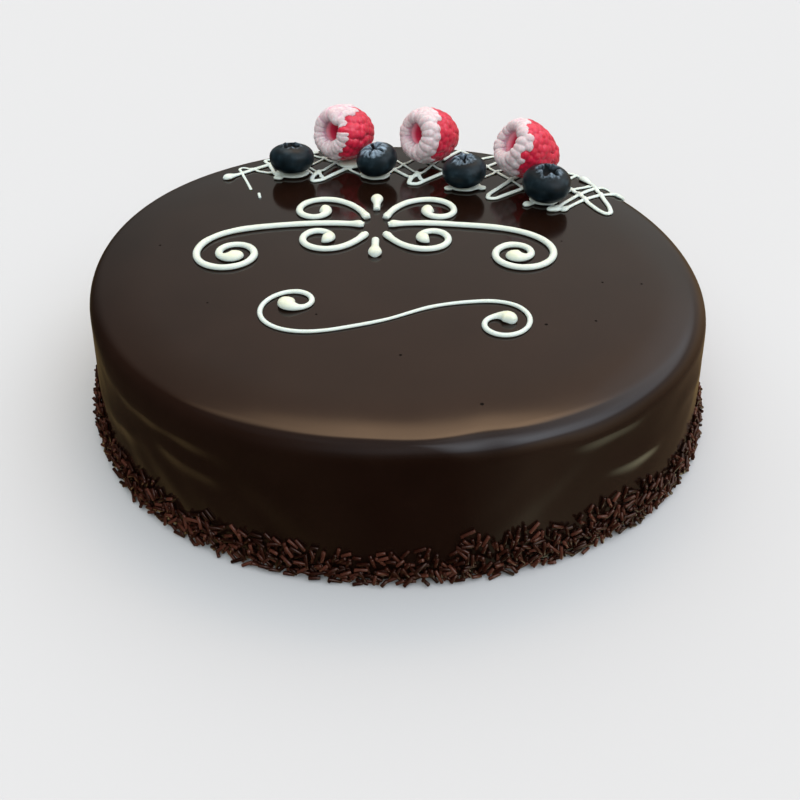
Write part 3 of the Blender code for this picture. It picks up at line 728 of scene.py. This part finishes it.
def wall_folds(angle, height):
    """Soft slanting folds where the glaze ran down the wall, in metres outwards."""
    around, up = angle / TURN, height / CAKE_HEIGHT
    mirrored = [(waves, -slant, depth) for waves, slant, depth in FOLD_WAVES]
    rising = soft_noise(around, up, mirrored, 11, 0.5)
    falling = soft_noise(around, up, FOLD_WAVES, 12, 0.5)
    right = smoothstep(0.5 + 0.8 * np.cos(angle))
    side = (0.25 + 0.75 * smoothstep(1.3 * np.abs(np.cos(angle)))) * (0.8 + 0.2 * np.cos(angle))
    folds = (falling + (rising - falling) * right) * side
    for start, end, half_width, thick in WALL_RUNS:
        folds = folds + thick * wall_run(angle, height, start, end, half_width)
    return folds * MM * smoothstep((0.97 - up) / 0.2) * smoothstep(up / 0.2)


def glaze_surface(angle):
    """(angles, rings, 3) points of the glaze, centre first and down to the foot."""
    radius, height = glaze_profile(angle)
    spread = smoothstep(radius / (0.6 * TOP_RADIUS))
    radius = radius + plan_offset(angle)[:, None] * spread
    radius = radius + wall_folds(angle[:, None], height)
    x, y = radius * np.cos(angle)[:, None], radius * np.sin(angle)[:, None]
    ripple = soft_noise(x / RIPPLE_SPAN, y / RIPPLE_SPAN, RIPPLE_WAVES, 5)
    on_top = smoothstep((height - 0.8 * CAKE_HEIGHT) / (0.1 * CAKE_HEIGHT))
    return np.stack([x, y, height + ripple * MM * on_top], axis=-1)


HEIGHT_ANGLES = np.linspace(0.0, TURN, 181)
HEIGHT_TABLE = glaze_surface(HEIGHT_ANGLES)[:, : TOP_RINGS + SHOULDER_RINGS // 2]
HEIGHT_RADII = np.hypot(HEIGHT_TABLE[..., 0], HEIGHT_TABLE[..., 1])


def glaze_height(x, y):
    """Height of the glaze over points of the plan, in metres."""
    x, y = np.broadcast_arrays(np.asarray(x, float), np.asarray(y, float))
    radius = np.hypot(x, y).ravel()
    turn = (np.arctan2(y, x).ravel() % TURN) / TURN * (len(HEIGHT_ANGLES) - 1)
    low = np.minimum(turn.astype(int), len(HEIGHT_ANGLES) - 2)
    share = turn - low
    found = np.empty(len(radius))
    for i, (row, part) in enumerate(zip(low, share)):
        near = np.interp(radius[i], HEIGHT_RADII[row], HEIGHT_TABLE[row, :, 2])
        far = np.interp(radius[i], HEIGHT_RADII[row + 1], HEIGHT_TABLE[row + 1, :, 2])
        found[i] = near + part * (far - near)
    return found.reshape(x.shape)


def make_glaze(material):
    """The whole glazed cake, closed by a flat bottom inside a small bevel."""
    angle = round_angles(CAKE_STEPS)
    skin = glaze_surface(angle).transpose(1, 0, 2)
    foot = skin[-1].copy()
    foot[:, :2] *= 1.0 - FOOT_BEVEL / FOOT_RADIUS
    foot[:, 2] = 0.0
    rings = np.concatenate([skin, foot[None]])
    solid = closed_rings(rings, (0.0, 0.0, CAKE_HEIGHT), (0.0, 0.0, 0.0))
    return new_piece("glazed_cake", *solid, material)


def burst_bubble(x, y, radius):
    """Points and faces of a low ring round a shallow dish, lying on the glaze."""
    spoke = round_angles(BUBBLE_STEPS)
    points = []
    for share, lift in BUBBLE_RINGS:
        px = (x + BUBBLE_SPREAD * radius * share * np.cos(spoke)) * MM
        py = (y + BUBBLE_SPREAD * radius * share * np.sin(spoke)) * MM
        pz = glaze_height(px, py) + (lift * radius + 0.005) * MM
        points.append(np.stack([px, py, pz], axis=-1))
    centre = glaze_height(x * MM, y * MM) + 0.012 * MM
    points.append(np.array([[x * MM, y * MM, centre]]))
    count = len(BUBBLE_RINGS) * BUBBLE_STEPS
    sides = ring_faces(len(BUBBLE_RINGS), BUBBLE_STEPS)
    return np.concatenate(points), [sides, fan_faces(count, count - BUBBLE_STEPS, BUBBLE_STEPS)]


def make_bubbles(material):
    bubbles = joined([burst_bubble(*bubble) for bubble in GLAZE_BUBBLES])
    return new_piece("glaze_bubbles", *bubbles, material)


# ---------------------------------------------------------------- icing


def pen_path(pen, mirror=1.0, centre_x=0.0):
    """(n, 2) points in millimetres along a pen path given by its turning."""
    step = pen["length"] / PEN_STEPS
    turning = np.array(pen["turning"], float)
    places = (np.arange(PEN_STEPS) + 0.5) / PEN_STEPS * (len(turning) - 1)
    bend = np.interp(places, np.arange(len(turning)), turning)
    angle = math.radians(pen["heading"]) + np.cumsum(bend * step * MM)
    x = pen["start"][0] + np.cumsum(np.cos(angle)) * step
    y = pen["start"][1] + np.cumsum(np.sin(angle)) * step
    path = np.stack([x, y], axis=-1)
    path = np.concatenate([[pen["start"]], path])
    return path * (mirror, 1.0) + (centre_x, 0.0)


def smoothed(path):
    """A strand's path with its bends eased and its ends kept."""
    run = run_length(path)
    even = np.linspace(0.0, run[-1], max(8, int(run[-1] / STRAND_STEP)))
    points = points_along(path, run, even)
    return blurred(points, STRAND_EASE, STRAND_STEP, lambda end, part: 2 * end - part)


def bead_width(run, total, half_width, drops):
    """Half width in millimetres along a bead whose ends swell gently into drops."""
    width = half_width
    for drop, away in ((drops[0], run), (drops[1], total - run)):
        neck = half_width + (drop - half_width) * np.exp(-(((away - drop) / (1.15 * drop)) ** 2))
        ball = drop * np.sqrt(np.clip(1.0 - ((drop - away) / drop) ** 2, 0.0, 1.0))
        swollen = np.where(away < drop, ball, neck)
        width = np.where(away < drop, swollen, np.maximum(width, swollen))
    return width


def bead_stations(total, drops):
    """Distances along a bead, closer together over its round ends."""
    ease = 1.0 - np.cos(np.linspace(0.0, 0.5 * math.pi, END_STATIONS))
    first, last = drops[0] * ease, total - drops[1] * ease[::-1]
    count = max(2, int((last[0] - first[-1]) / STATION_GAP))
    return np.concatenate([first, np.linspace(first[-1], last[0], count)[1:-1], last])


def bead_height(width):
    """A bead's height in millimetres: wide drops lie flatter than a thin line."""
    return 1.38 * width / (1.0 + 0.17 * np.maximum(width - 1.0, 0.0))


def sweep(path, half_width, drops, seed, flatness=1.0, lift=None):
    """(stations, sides, 3) points of a bead of icing on the glaze, with its two end points.

    The half width is one number, or several that hold evenly along the path.
    """
    run = run_length(path)
    total = run[-1]
    at = bead_stations(total, drops)
    ahead, behind = points_along(path, run, at + 0.1), points_along(path, run, at - 0.1)
    along = (ahead - behind) / np.linalg.norm(ahead - behind, axis=1)[:, None]
    across = np.stack([-along[:, 1], along[:, 0]], axis=-1)
    uneven = line_noise(at / total, ((total / 22.0, 1.0), (total / 8.0, 0.5)), seed)
    drift = line_noise(at / total, ((total / 30.0, 1.0),), seed + 1)
    half_widths = np.atleast_1d(half_width)
    half_width = np.interp(at / total, np.linspace(0.0, 1.0, len(half_widths)), half_widths)
    width = bead_width(at, total, half_width, drops) * (1.0 + 0.06 * uneven)
    middle = points_along(path, run, at) + across * (0.16 * drift)[:, None]
    side = round_angles(BEAD_SIDES)
    height = flatness * bead_height(width)[:, None]
    belly = BELLY * height
    rise = np.where(np.sin(side) > 0.0, height - belly, belly) * np.sin(side)
    xy = middle[:, None, :] + across[:, None, :] * (width[:, None] * np.cos(side))[..., None]
    floor = glaze_height(xy[..., 0] * MM, xy[..., 1] * MM)
    raised = 0.0 if lift is None else np.interp(at, run, lift)[:, None] * MM
    z = floor + raised + (belly + rise + 0.02) * MM
    rings = np.concatenate([xy * MM, z[..., None]], axis=-1)
    return rings, rings[0].mean(axis=0), rings[-1].mean(axis=0)


def make_strokes(material):
    """The flourish, the mirrored ornament, its pendants and the fleck, one piece each."""
    seeds = itertools.count(30, 2)
    strokes = {"flourish": (pen_path(FLOURISH), FLOURISH_HALF_WIDTHS, FLOURISH["drops"], 21)}
    for name, pen in ORNAMENT.items():
        for side, mirror in (("left", -1.0), ("right", 1.0)):
            path = pen_path(pen, mirror, ORNAMENT_CENTRE_X)
            strokes[f"{name}_{side}"] = (path, ORNAMENT_HALF_WIDTH, pen["drops"], next(seeds))
    for name, (near, far) in PENDANTS.items():
        path = np.array([(ORNAMENT_CENTRE_X, near), (ORNAMENT_CENTRE_X, far)])
        strokes[name] = (path, ORNAMENT_HALF_WIDTH, PENDANT_DROPS, next(seeds))
    ends = (FLECK_HALF_WIDTH, FLECK_HALF_WIDTH)
    strokes["fleck"] = (np.array(FLECK), FLECK_HALF_WIDTH, ends, next(seeds))
    return {
        name: new_piece("icing_" + name, *closed_rings(*sweep(*stroke)), material)
        for name, stroke in strokes.items()
    }


def crossing_lift(path, laid):
    """How far each point of a path rises to pass over the icing laid before it."""
    lift = np.zeros(len(path))
    for i, point in enumerate(path):
        before = np.concatenate([laid, path[: max(0, i - OWN_TAIL)]])
        if len(before):
            near = np.hypot(*(before - point).T).min()
            lift[i] = CROSSING_LIFT * smoothstep(1.0 - near / CROSSING_REACH)
    return lift


def dab_solid(x, y, half_length, half_width, height, seed):
    """Points and faces of a low, uneven dab of icing on the flat of the glaze."""
    spoke = round_angles(DAB_STEPS)
    level = np.linspace(0.0, math.pi, DAB_LEVELS)[1:-1]
    uneven = 1.0 + 0.07 * line_noise(spoke / TURN, ((3, 1.0), (6, 0.6)), seed)
    reach = np.sin(level)[:, None] ** 0.7 * uneven[None, :]
    px = (x + half_length * reach * np.cos(spoke)) * MM
    py = (y + half_width * reach * np.sin(spoke)) * MM
    pz = CAKE_HEIGHT + (0.5 * height * (1.0 + np.cos(level)) + 0.02)[:, None] * MM
    rings = np.stack([px, py, np.broadcast_to(pz, px.shape)], axis=-1)
    centre = np.array([x * MM, y * MM, 0.0])
    top = centre + (0.0, 0.0, CAKE_HEIGHT + (height + 0.02) * MM)
    return closed_rings(rings, top, centre + (0.0, 0.0, CAKE_HEIGHT + 0.02 * MM))


def melt_together(piece):
    """Remesh a piece so that its overlapping parts run into each other."""
    melt = piece.modifiers.new("melt", "REMESH")
    melt.mode = "VOXEL"
    melt.voxel_size = VOXEL
    melt.use_smooth_shade = True
    settle = piece.modifiers.new("settle", "SMOOTH")
    settle.factor = 0.5
    settle.iterations = 3
    graph = bpy.context.evaluated_depsgraph_get()
    mesh = bpy.data.meshes.new_from_object(piece.evaluated_get(graph))
    piece.modifiers.clear()
    piece.data = mesh
    mesh.shade_smooth()


def make_lattice(material):
    """Every pass of the lattice and every dab, melted into one piece where they meet."""
    solids, laid = [], np.zeros((0, 2))
    for number, (half_width, drops, turns) in enumerate(STRANDS):
        path = smoothed(np.array(turns))
        lift = crossing_lift(path, laid)
        laid = np.concatenate([laid, path])
        strand = sweep(path, half_width, drops, 60 + 2 * number, STRAND_FLATNESS, lift)
        solids.append(closed_rings(*strand))
    solids += [dab_solid(*dab, 80 + number) for number, dab in enumerate(DABS)]
    lattice = new_piece("icing_lattice", *joined(solids), material)
    melt_together(lattice)
    return lattice


# ---------------------------------------------------------------- berries


def direction(azimuth, tilt):
    """The direction at this azimuth and this tilt upwards, both in degrees."""
    azimuth, tilt = math.radians(azimuth), math.radians(tilt)
    return math.cos(azimuth) * math.cos(tilt), math.sin(azimuth) * math.cos(tilt), math.sin(tilt)


def upright_frame(facing):
    """Axes of a berry: along its axis, the way up square to it, and the third."""
    axis = np.array(facing) / np.linalg.norm(facing)
    up = np.array([0.0, 0.0, 1.0]) - axis[2] * axis
    up /= np.linalg.norm(up)
    return up, np.cross(axis, up), axis


def berry_solid(reach, height, spoke, facing, at, low):
    """Points and faces of a berry from its rings, turned, and set down on its lowest point."""
    up, side, axis = upright_frame(facing)
    around = np.cos(spoke)[..., None] * up + np.sin(spoke)[..., None] * side
    place = reach[..., None] * around + height[..., None] * axis
    top, bottom = place[0].mean(axis=0), place[-1].mean(axis=0)
    lift = np.array([*at, low - place[..., 2].min()])
    return closed_rings((place + lift) * MM, (top + lift) * MM, (bottom + lift) * MM)


def set_attribute(piece, name, values):
    layer = piece.data.attributes.new(name, "FLOAT", "POINT")
    layer.data.foreach_set("value", np.asarray(values, np.float32).ravel())


def with_calyx(height, ring, spoke, above, crown, seed):
    """Heights of a blueberry with its five-lobed calyx added, and where its pit is."""
    lobes = np.cos(5.0 * (spoke - math.radians(crown["turn"])))
    ragged = line_noise(spoke / TURN, ((4, 1.0), (9, 0.8)), seed)
    slit = (0.5 - 0.5 * lobes) ** crown["narrow"] * (1.0 + 0.25 * ragged)
    edge = crown["pit"] * (1.0 + 0.10 * ragged) + crown["slit"] * slit
    hole = above * smoothstep((edge - ring) / 0.55 + 0.5)
    share = ring / crown["radius"]
    flap = above * np.exp(-(((share - 0.72) / 0.30) ** 2)) * (1.0 + 0.3 * ragged)
    height = height + crown["rim"] * flap - crown["depth"] * hole * smoothstep(1.4 - share)
    return height + crown["sepals"] * flap * np.maximum(lobes, 0.0) ** 3, hole


def make_blueberry(number, plan, crown, material):
    """A flattened ball with the five-lobed calyx round a pit."""
    spoke = round_angles(BLUEBERRY_STEPS)
    level = math.pi * (np.arange(1, BLUEBERRY_RINGS + 1) / (BLUEBERRY_RINGS + 1)) ** 1.3
    half_width, half_height = 0.5 * plan["width"], 0.5 * plan["height"]
    lump = soft_noise(
        spoke[None, :] / TURN, np.cos(level)[:, None], ((2, 0.5, 0.5), (5, 1.5, 0.2)), 210 + number
    )
    above = (level < 0.5 * math.pi)[:, None]
    square = np.where(above[:, 0], *BLUEBERRY_SQUARENESS)
    ring = half_width * (np.sin(level) ** square)[:, None] * (1.0 + 0.016 * lump)
    rise = np.sign(np.cos(level)) * np.abs(np.cos(level)) ** square
    rise = rise * np.where(above[:, 0], crown["top"], 1.0)
    height = half_height * rise[:, None] * np.ones_like(ring)
    height, hole = with_calyx(height, ring, spoke, above, crown, 220 + number)
    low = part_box(f"blueberry_{number}")[0].z / MM
    solid = berry_solid(ring, height, spoke, (*plan["lean"], 1.0), plan["at"], low)
    piece = new_piece(f"blueberry_{number}_skin", *solid, material)
    rays = line_noise(spoke / TURN, ((11, 1.0), (19, 1.0)), 230 + number)
    bloomed = smoothstep((1.45 - ring / crown["radius"]) / 0.6)
    near = above * crown["bloom"] * bloomed * (0.9 + 0.22 * rays)
    set_attribute(piece, "crown", np.append(near.ravel(), (0.0, 0.0)))
    # where the material paints the pit's shade
    set_attribute(piece, "pit", np.append(hole.ravel(), (1.0, 0.0)))
    return piece


def raspberry_meridian(radius, length, taper):
    """(n, 2) radius and height from the bottom of the hollow over the lip to the tip."""
    widest = RASPBERRY_WIDEST * length
    points = [
        (0.0, widest - 0.58 * length), (0.20 * radius, widest - 0.52 * length),
        (0.36 * radius, widest - 0.30 * length), (0.47 * radius, widest - 0.12 * length),
        (0.56 * radius, widest - 0.03 * length), (0.65 * radius, widest - 0.05 * length),
    ]
    skin = radius - 1.0
    for height in np.linspace(0.82 * widest, 0.0, 8):
        points.append((skin * math.sqrt(1.0 - (height / (LIP_SWELL * widest)) ** 2), height))
    tail = length - widest - 0.6
    for down in np.sin(np.linspace(0.0, 0.5 * math.pi, 20))[1:]:
        points.append((skin * math.sqrt(max(1.0 - down**taper, 0.0)), -down * tail))
    points = np.array(points)
    run = run_length(points)
    fine = points_along(points, run, np.linspace(0.0, run[-1], MERIDIAN_STEPS))
    return blurred(fine, MERIDIAN_EASE, 1, lambda end, part: part * (-1.0, 1.0))


def round_lip(lip, angle):
    """Frost reach, lumpiness, swelling and closing at each angle round the lip."""
    turns, *columns = np.array(lip, float).T
    return [np.interp(np.degrees(angle) % 360.0, turns, column) for column in columns]


def lay_drupelets(meridian, lip, draw):
    """Drupelets in staggered rows from the lip to the tip: angle, run, half sizes, height."""
    run = run_length(meridian)
    total = run[-1]
    start = run[np.argmax(meridian[:, 1])] + 0.6
    drupelets = []
    at, number, row = start, 0, LIP_ROW
    while at < total - 1.2:
        ring = float(np.interp(at, run, meridian[:, 0]))
        count = max(4, round(TURN * (ring + 0.9) / row["pitch"]))
        for i in range(count):
            angle = (i + 0.5 * (number % 2)) * TURN / count + draw.normal() * 0.06
            across = TURN * ring / count * row["across"] * draw.uniform(0.94, 1.08)
            along = row["along"] * draw.uniform(0.92, 1.08)
            shift = draw.normal() * row["uneven"]
            high = DRUPELET_HEIGHT * draw.uniform(0.85, 1.15)
            frosted, lumpy, _, _ = round_lip(lip, angle)
            if at - start < frosted:
                high *= lumpy
            drupelets.append((angle, at + shift, across, along, high))
        at += row["next"]
        number, row = number + 1, OTHER_ROW
    drupelets.append((0.0, total, 1.7, 1.7, DRUPELET_HEIGHT))
    return np.array(drupelets)


def raspberry_rings(plan, meridian, along, back, angle):
    """Radii and levels of the skin under the drupelets, and the way out from it in both."""
    points = points_along(meridian, run_length(meridian), along)
    ring, level = points.T[..., None]
    slope_r, slope_z = np.gradient(points, along, axis=0).T[..., None]
    size = np.hypot(slope_r, slope_z)
    closing = round_lip(plan["lip"], angle)[3] * np.exp(-(((0.5 - back) / MOUTH_REACH) ** 2))
    ring = ring * (1.0 - HOLLOW_NARROWING * (1.0 - np.cos(angle)) * smoothstep(-back / 3.0))
    ring = ring * (1.0 - closing / plan["radius"])
    return ring, level, -slope_z / size, slope_r / size


def drupelet_relief(drupelets, meridian, along, ring, angle):
    """How far the drupelets stand out at each point, and which one each point belongs to."""
    run = run_length(meridian)
    relief = np.zeros((RASPBERRY_ALONG, RASPBERRY_ROUND))
    owner = np.full(relief.shape, -1)
    for i, (turn, at, half_across, half_along, high) in enumerate(drupelets):
        own_ring = float(np.interp(at, run, meridian[:, 0]))
        chord = 2.0 * np.sin(0.5 * (angle - turn)) * np.sqrt(ring * max(own_ring, 0.0))
        near = (chord / half_across) ** 2 + ((along[:, None] - at) / half_along) ** 2
        rise = high * np.sqrt(np.clip(1.0 - near, 0.0, 1.0))
        owner = np.where(rise > relief, i, owner)
        relief = np.maximum(relief, rise)
    return relief, owner


def frost_cover(drupelets, owner, back, lip, crest, draw):
    """Frost on whole drupelets within its ragged reach behind the lip, and over the lip's edge."""
    reach = round_lip(lip, drupelets[:, 0])[0] + draw.normal(size=len(drupelets)) * 0.5
    frosted = (drupelets[:, 1] - crest < reach).astype(float)
    frost = np.where(owner >= 0, frosted[owner], 0.0)
    frost = np.where((owner < 0) & (back < 2.0), smoothstep((back + 4.0) / 3.0), frost)
    return (frost + np.roll(frost, 1, 1) + np.roll(frost, -1, 1)) / 3.0


def make_raspberry(number, plan, material):
    """A raspberry on its side: drupelets round a hollow whose mouth has a frosted lip."""
    draw = np.random.default_rng(300 + number)
    lip = plan["lip"]
    meridian = raspberry_meridian(plan["radius"], plan["length"], plan["taper"])
    run = run_length(meridian)
    crest = run[np.argmax(meridian[:, 1])]
    along = np.linspace(0.0, run[-1], RASPBERRY_ALONG + 2)[1:-1]
    back = along[:, None] - crest  # how far each ring lies behind the lip's crest
    angle = round_angles(RASPBERRY_ROUND)[None, :]
    ring, level, out_r, out_z = raspberry_rings(plan, meridian, along, back, angle)
    drupelets = lay_drupelets(meridian, lip, draw)
    relief, owner = drupelet_relief(drupelets, meridian, along, ring, angle)
    # how deep into the hollow each ring lies, which the material turns into painted shade
    hollow = smoothstep((crest - 1.0 - along) / (0.75 * crest))[:, None] * np.ones_like(relief)
    # how low each point sits between the drupelets, where the material paints shade; none deep in the
    # hollow
    groove = 1.0 - smoothstep((relief - 0.25) / 0.55)
    groove = groove * (1.0 - np.clip(hollow * 8.0, 0.0, 1.0))
    frost = frost_cover(drupelets, owner, back, lip, crest, draw)
    swelling = round_lip(lip, angle)[2]
    relief = relief + swelling * np.exp(-(((back - 1.0) / LIP_REACH) ** 2))
    relief = relief + FROST_HEIGHT * smoothstep(frost)
    dent = soft_noise(
        angle / TURN, along[:, None] / 20.0, ((6, 2.0, 0.5), (13, 4.0, 0.25)), 320 + number
    )
    relief = relief + DENT_DEPTH * dent * np.minimum(1.0, ring / 3.0)
    facing = direction(plan["azimuth"], plan["tilt"])
    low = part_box(f"raspberry_{number}")[0].z / MM
    reach, height = ring + out_r * relief, level + out_z * relief
    solid = berry_solid(reach, height, angle, facing, plan["at"], low)
    piece = new_piece(f"raspberry_{number}_flesh", *solid, material)
    set_attribute(piece, "frost", np.append(frost.ravel(), (0.0, frost[-1].mean())))
    # The last two attributes carry painted shade, between the drupelets and deep in the hollow.
    set_attribute(piece, "groove", np.append(groove.ravel(), (0.0, 0.0)))
    set_attribute(piece, "hollow", np.append(hollow.ravel(), (1.0, 0.0)))
    return piece


# ---------------------------------------------------------------- sprinkles


def band_top(angle):
    """Height of the sprinkled band's ragged upper edge at this angle, in metres."""
    turns, heights = zip(*BAND_TOPS)
    top = np.interp(np.degrees(angle) % 360.0, turns, heights)
    waves = line_noise(angle / TURN, ((31, 1.0), (59, 1.0)), 400)
    return (top - 1.3 + 1.1 * waves) * MM


def touches(near, u, v):
    """Whether a rod's sample points come too close to those of the rods near it."""
    if not near:
        return False
    others = np.array(near)
    along = others[:, 0][:, None, :] - u[None, :, None]
    up = others[:, 1][:, None, :] - v[None, :, None]
    return np.hypot(along, up).min() < ROD_GAP


def lay_rods():
    """Rods in layers on the wall, clear of others of their layer.

    A rod is its angle round, height, lean, stand off the glaze, tilt out, stretch and tone.
    """
    draw = np.random.default_rng(17)
    girth = TURN * FOOT_RADIUS
    samples = np.linspace(-0.5, 0.5, 5) * (ROD_LENGTH - ROD_RADIUS)
    rods = []
    for layer in SPRINKLE_LAYERS:
        cells = {}
        for _ in range(layer["tries"]):
            angle = draw.uniform(0.0, TURN)
            top = layer["reach"] * band_top(np.array([angle]))[0]
            up = ROD_RADIUS + draw.uniform(0.0, 1.0) * (top - ROD_RADIUS)
            lean = draw.uniform(-0.5, 0.5) * math.pi
            if up < FLATTER_BELOW:
                lean *= 0.35 + 0.6 * up / FLATTER_BELOW
            half_rise = abs(math.sin(lean)) * 0.5 * ROD_LENGTH
            up = max(up, half_rise + 0.8 * ROD_RADIUS)
            u = angle / TURN * girth + samples * math.cos(lean)
            v = up + samples * math.sin(lean)
            key = int(u[2] / ROD_CELL)
            if touches([rod for k in (key - 1, key, key + 1) for rod in cells.get(k, ())], u, v):
                continue
            cells.setdefault(key, []).append((u, v))
            stand = layer["stand"] + draw.normal() * 0.12 * MM
            tilt = draw.normal() * layer["tilt"]
            stretch, tone = draw.uniform(0.62, 1.14), draw.uniform(0.0, 1.0)
            rods.append((angle, up, lean, stand, tilt, stretch, tone))
    return np.array(rods)


def wall_feet(angle, up):
    """Points of the glaze's wall at these angles and heights."""
    wall = glaze_surface(angle)
    index = np.array([
        np.interp(height, row[::-1, 2], np.arange(row.shape[0])[::-1]) for height, row in zip(up, wall)
    ])
    low = index.astype(int)
    high = np.minimum(low + 1, wall.shape[1] - 1)
    share = (index - low)[:, None]
    rows = np.arange(len(wall))
    return wall[rows, low] * (1 - share) + wall[rows, high] * share


def rod_frames(angle, up, lean, stand, tilt):
    """Middles of the rods, and for each its axis and two directions square to it."""
    outwards = np.stack([np.cos(angle), np.sin(angle), np.zeros_like(angle)], axis=-1)
    around = np.stack([-np.sin(angle), np.cos(angle), np.zeros_like(angle)], axis=-1)
    rise = np.array([0.0, 0.0, 1.0]) - 0.06 * outwards
    centre = wall_feet(angle, up) + outwards * stand[:, None]
    centre[:, 2] = up
    flat = around * np.cos(lean)[:, None] + rise * np.sin(lean)[:, None]
    axis = flat + outwards * np.sin(tilt)[:, None]
    axis /= np.linalg.norm(axis, axis=1)[:, None]
    second = np.cross(axis, outwards)
    second /= np.linalg.norm(second, axis=1)[:, None]
    return centre, axis, second, np.cross(axis, second)


def make_sprinkles(material):
    """The rods as one mesh, each with its own tone."""
    *laid, stretch, tone = lay_rods().T
    centre, axis, second, third = rod_frames(*laid)
    half = 0.5 * ROD_LENGTH
    section = (  # along the rod, radius
        (-half, ROD_END_SHARE * ROD_RADIUS), (-half + ROD_CHAMFER, ROD_RADIUS),
        (half - ROD_CHAMFER, ROD_RADIUS), (half, ROD_END_SHARE * ROD_RADIUS),
    )
    shape = [
        centre + axis * (place * stretch)[:, None]
        + radius * (second * math.cos(turn) + third * math.sin(turn))
        for place, radius in section
        for turn in round_angles(ROD_SIDES)
    ]
    points = np.stack(shape, axis=1).reshape(-1, 3)
    points[:, 2] = np.maximum(points[:, 2], 0.03 * MM)
    corner = np.arange(ROD_SIDES)
    end = np.stack([np.zeros(ROD_SIDES - 2, int), corner[1:-1], corner[2:]], axis=-1)
    other_end = end[:, ::-1] + (len(section) - 1) * ROD_SIDES
    sides = ring_faces(len(section), ROD_SIDES)[:, ::-1]
    first = (np.arange(len(tone)) * len(shape))[:, None, None]
    faces = [(part[None] + first).reshape(-1, part.shape[1]) for part in (sides, end, other_end)]
    piece = new_piece("sprinkles", points, faces, material)
    set_attribute(piece, "tone", np.repeat(tone, len(shape)))
    return piece


# ---------------------------------------------------------------- stage


def make_camera():
    data = bpy.data.cameras.new("camera")
    data.lens = LENS
    data.sensor_width = SENSOR
    camera = bpy.data.objects.new("camera", data)
    camera.location = CAMERA_AT
    camera.rotation_euler = (0.5 * math.pi - CAMERA_DOWN, 0.0, 0.0)
    bpy.context.scene.collection.objects.link(camera)
    bpy.context.scene.camera = camera


def make_floor():
    """The pale ground that the cake stands on, kept out of reflections."""
    material, _, _ = new_material(
        "pale_floor", (0.440, 0.435, 0.441), 0.9, Specular_IOR_Level=0.0
    )
    corners = np.array([(-1, -1, 0), (1, -1, 0), (1, 1, 0), (-1, 1, 0)]) * FLOOR_HALF_SIZE
    floor = new_piece("floor", corners, [np.array([[0, 1, 2, 3]])], material)
    floor.location.z = -0.05 * MM
    floor.visible_glossy = False


def make_lamps():
    for name, (energy, at, spread, colour) in LAMPS.items():
        data = bpy.data.lights.new(name, "SUN")
        data.energy = energy
        data.color = colour
        data.angle = math.radians(spread)
        lamp = bpy.data.objects.new(name, data)
        lamp.location = at
        lamp.rotation_euler = (-Vector(at)).to_track_quat("-Z", "Y").to_euler()
        lamp.visible_glossy = False
        bpy.context.scene.collection.objects.link(lamp)


def make_world():
    """Pale for the camera; for reflections a dim room, bright and warm behind, a window right."""
    world = bpy.data.worlds.new("room")
    bpy.context.scene.world = world
    world.use_nodes = True
    tree = world.node_tree
    tree.nodes.clear()
    place = add_node(tree, "ShaderNodeTexCoord")
    parts = add_node(tree, "ShaderNodeSeparateXYZ", {"Vector": place.outputs["Generated"]})
    up = remap(tree, parts.outputs["Z"], -1.0, 1.0, 0.0, 1.0)
    square = maths(tree, "MULTIPLY", parts.outputs["Z"], parts.outputs["Z"])
    level = maths(tree, "SQRT", maths(tree, "SUBTRACT", 1.0001, square))
    right = maths(tree, "DIVIDE", parts.outputs["X"], level)
    behind = maths(tree, "DIVIDE", parts.outputs["Y"], level)

    def sector(stops):
        rise = ((0.5 + 0.5 * math.sin(math.radians(degrees)), colour) for degrees, colour in stops)
        return ramp(tree, up, tuple(rise))

    back, front, window, left = map(sector, (ROOM_BACK, ROOM_FRONT, ROOM_RIGHT, ROOM_LEFT))
    warmer = ramp(tree, remap(tree, right, -0.6, 0.45, 0.0, 1.0), (
        (0.0, (0.78, 0.79, 0.80)), (0.6, (0.92, 0.92, 0.92)), (1.0, (1.2, 1.2, 1.2)),
    ))
    nearer = ramp(tree, remap(tree, behind, -0.7, 0.6, 0.0, 1.0), (
        (0.0, (1.7, 1.75, 1.8)), (0.5, (1.0, 1.0, 1.0)), (1.0, (0.92, 0.88, 0.84)),
    ))
    back = blend_colours(tree, 1.0, back, warmer, "MULTIPLY")
    window = blend_colours(tree, 1.0, window, nearer, "MULTIPLY")
    room = blend_colours(tree, remap(tree, behind, -0.1, 0.35, 0.0, 1.0), front, back)
    room = blend_colours(tree, remap(tree, right, 0.36, 0.68, 0.0, 1.0), room, window)
    room = blend_colours(tree, remap(tree, right, -0.80, -0.12, 0.0, 1.0), left, room)
    seen = add_node(tree, "ShaderNodeLightPath")
    shown = blend_colours(tree, seen.outputs["Is Camera Ray"], room, PALE)
    background = add_node(tree, "ShaderNodeBackground", {"Color": shown}, Strength=1.0)
    output = add_node(tree, "ShaderNodeOutputWorld")
    tree.links.new(background.outputs["Background"], output.inputs["Surface"])


def main():
    glaze = glaze_material()
    icing = icing_material()
    rods = sprinkle_material()
    red = raspberry_material()
    blue = blueberry_material()

    shown = {"cake": (make_glaze(glaze), "glaze")}
    for node, piece in make_strokes(icing).items():
        shown[node] = (piece, "icing")
    shown["lattice"] = (make_lattice(icing), "icing")
    for number, (plan, crown) in enumerate(zip(BLUEBERRIES, CROWNS), 1):
        shown[f"blueberry_{number}"] = (make_blueberry(number, plan, crown, blue), "blueberry")
    for number, plan in enumerate(RASPBERRIES, 1):
        shown[f"raspberry_{number}"] = (make_raspberry(number, plan, red), "raspberry")
    for node, (piece, slot) in shown.items():
        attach(piece, "root")
        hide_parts(node)
    sprinkles, bubbles = make_sprinkles(rods), make_bubbles(shaded_bubble_material())
    for piece, slot in ((sprinkles, "sprinkles"), (bubbles, "glaze")):
        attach(piece, "root")

    make_camera()
    make_floor()
    make_lamps()
    make_world()
    bpy.context.scene.view_settings.view_transform = "Standard"
    bpy.context.view_layer.update()


main()
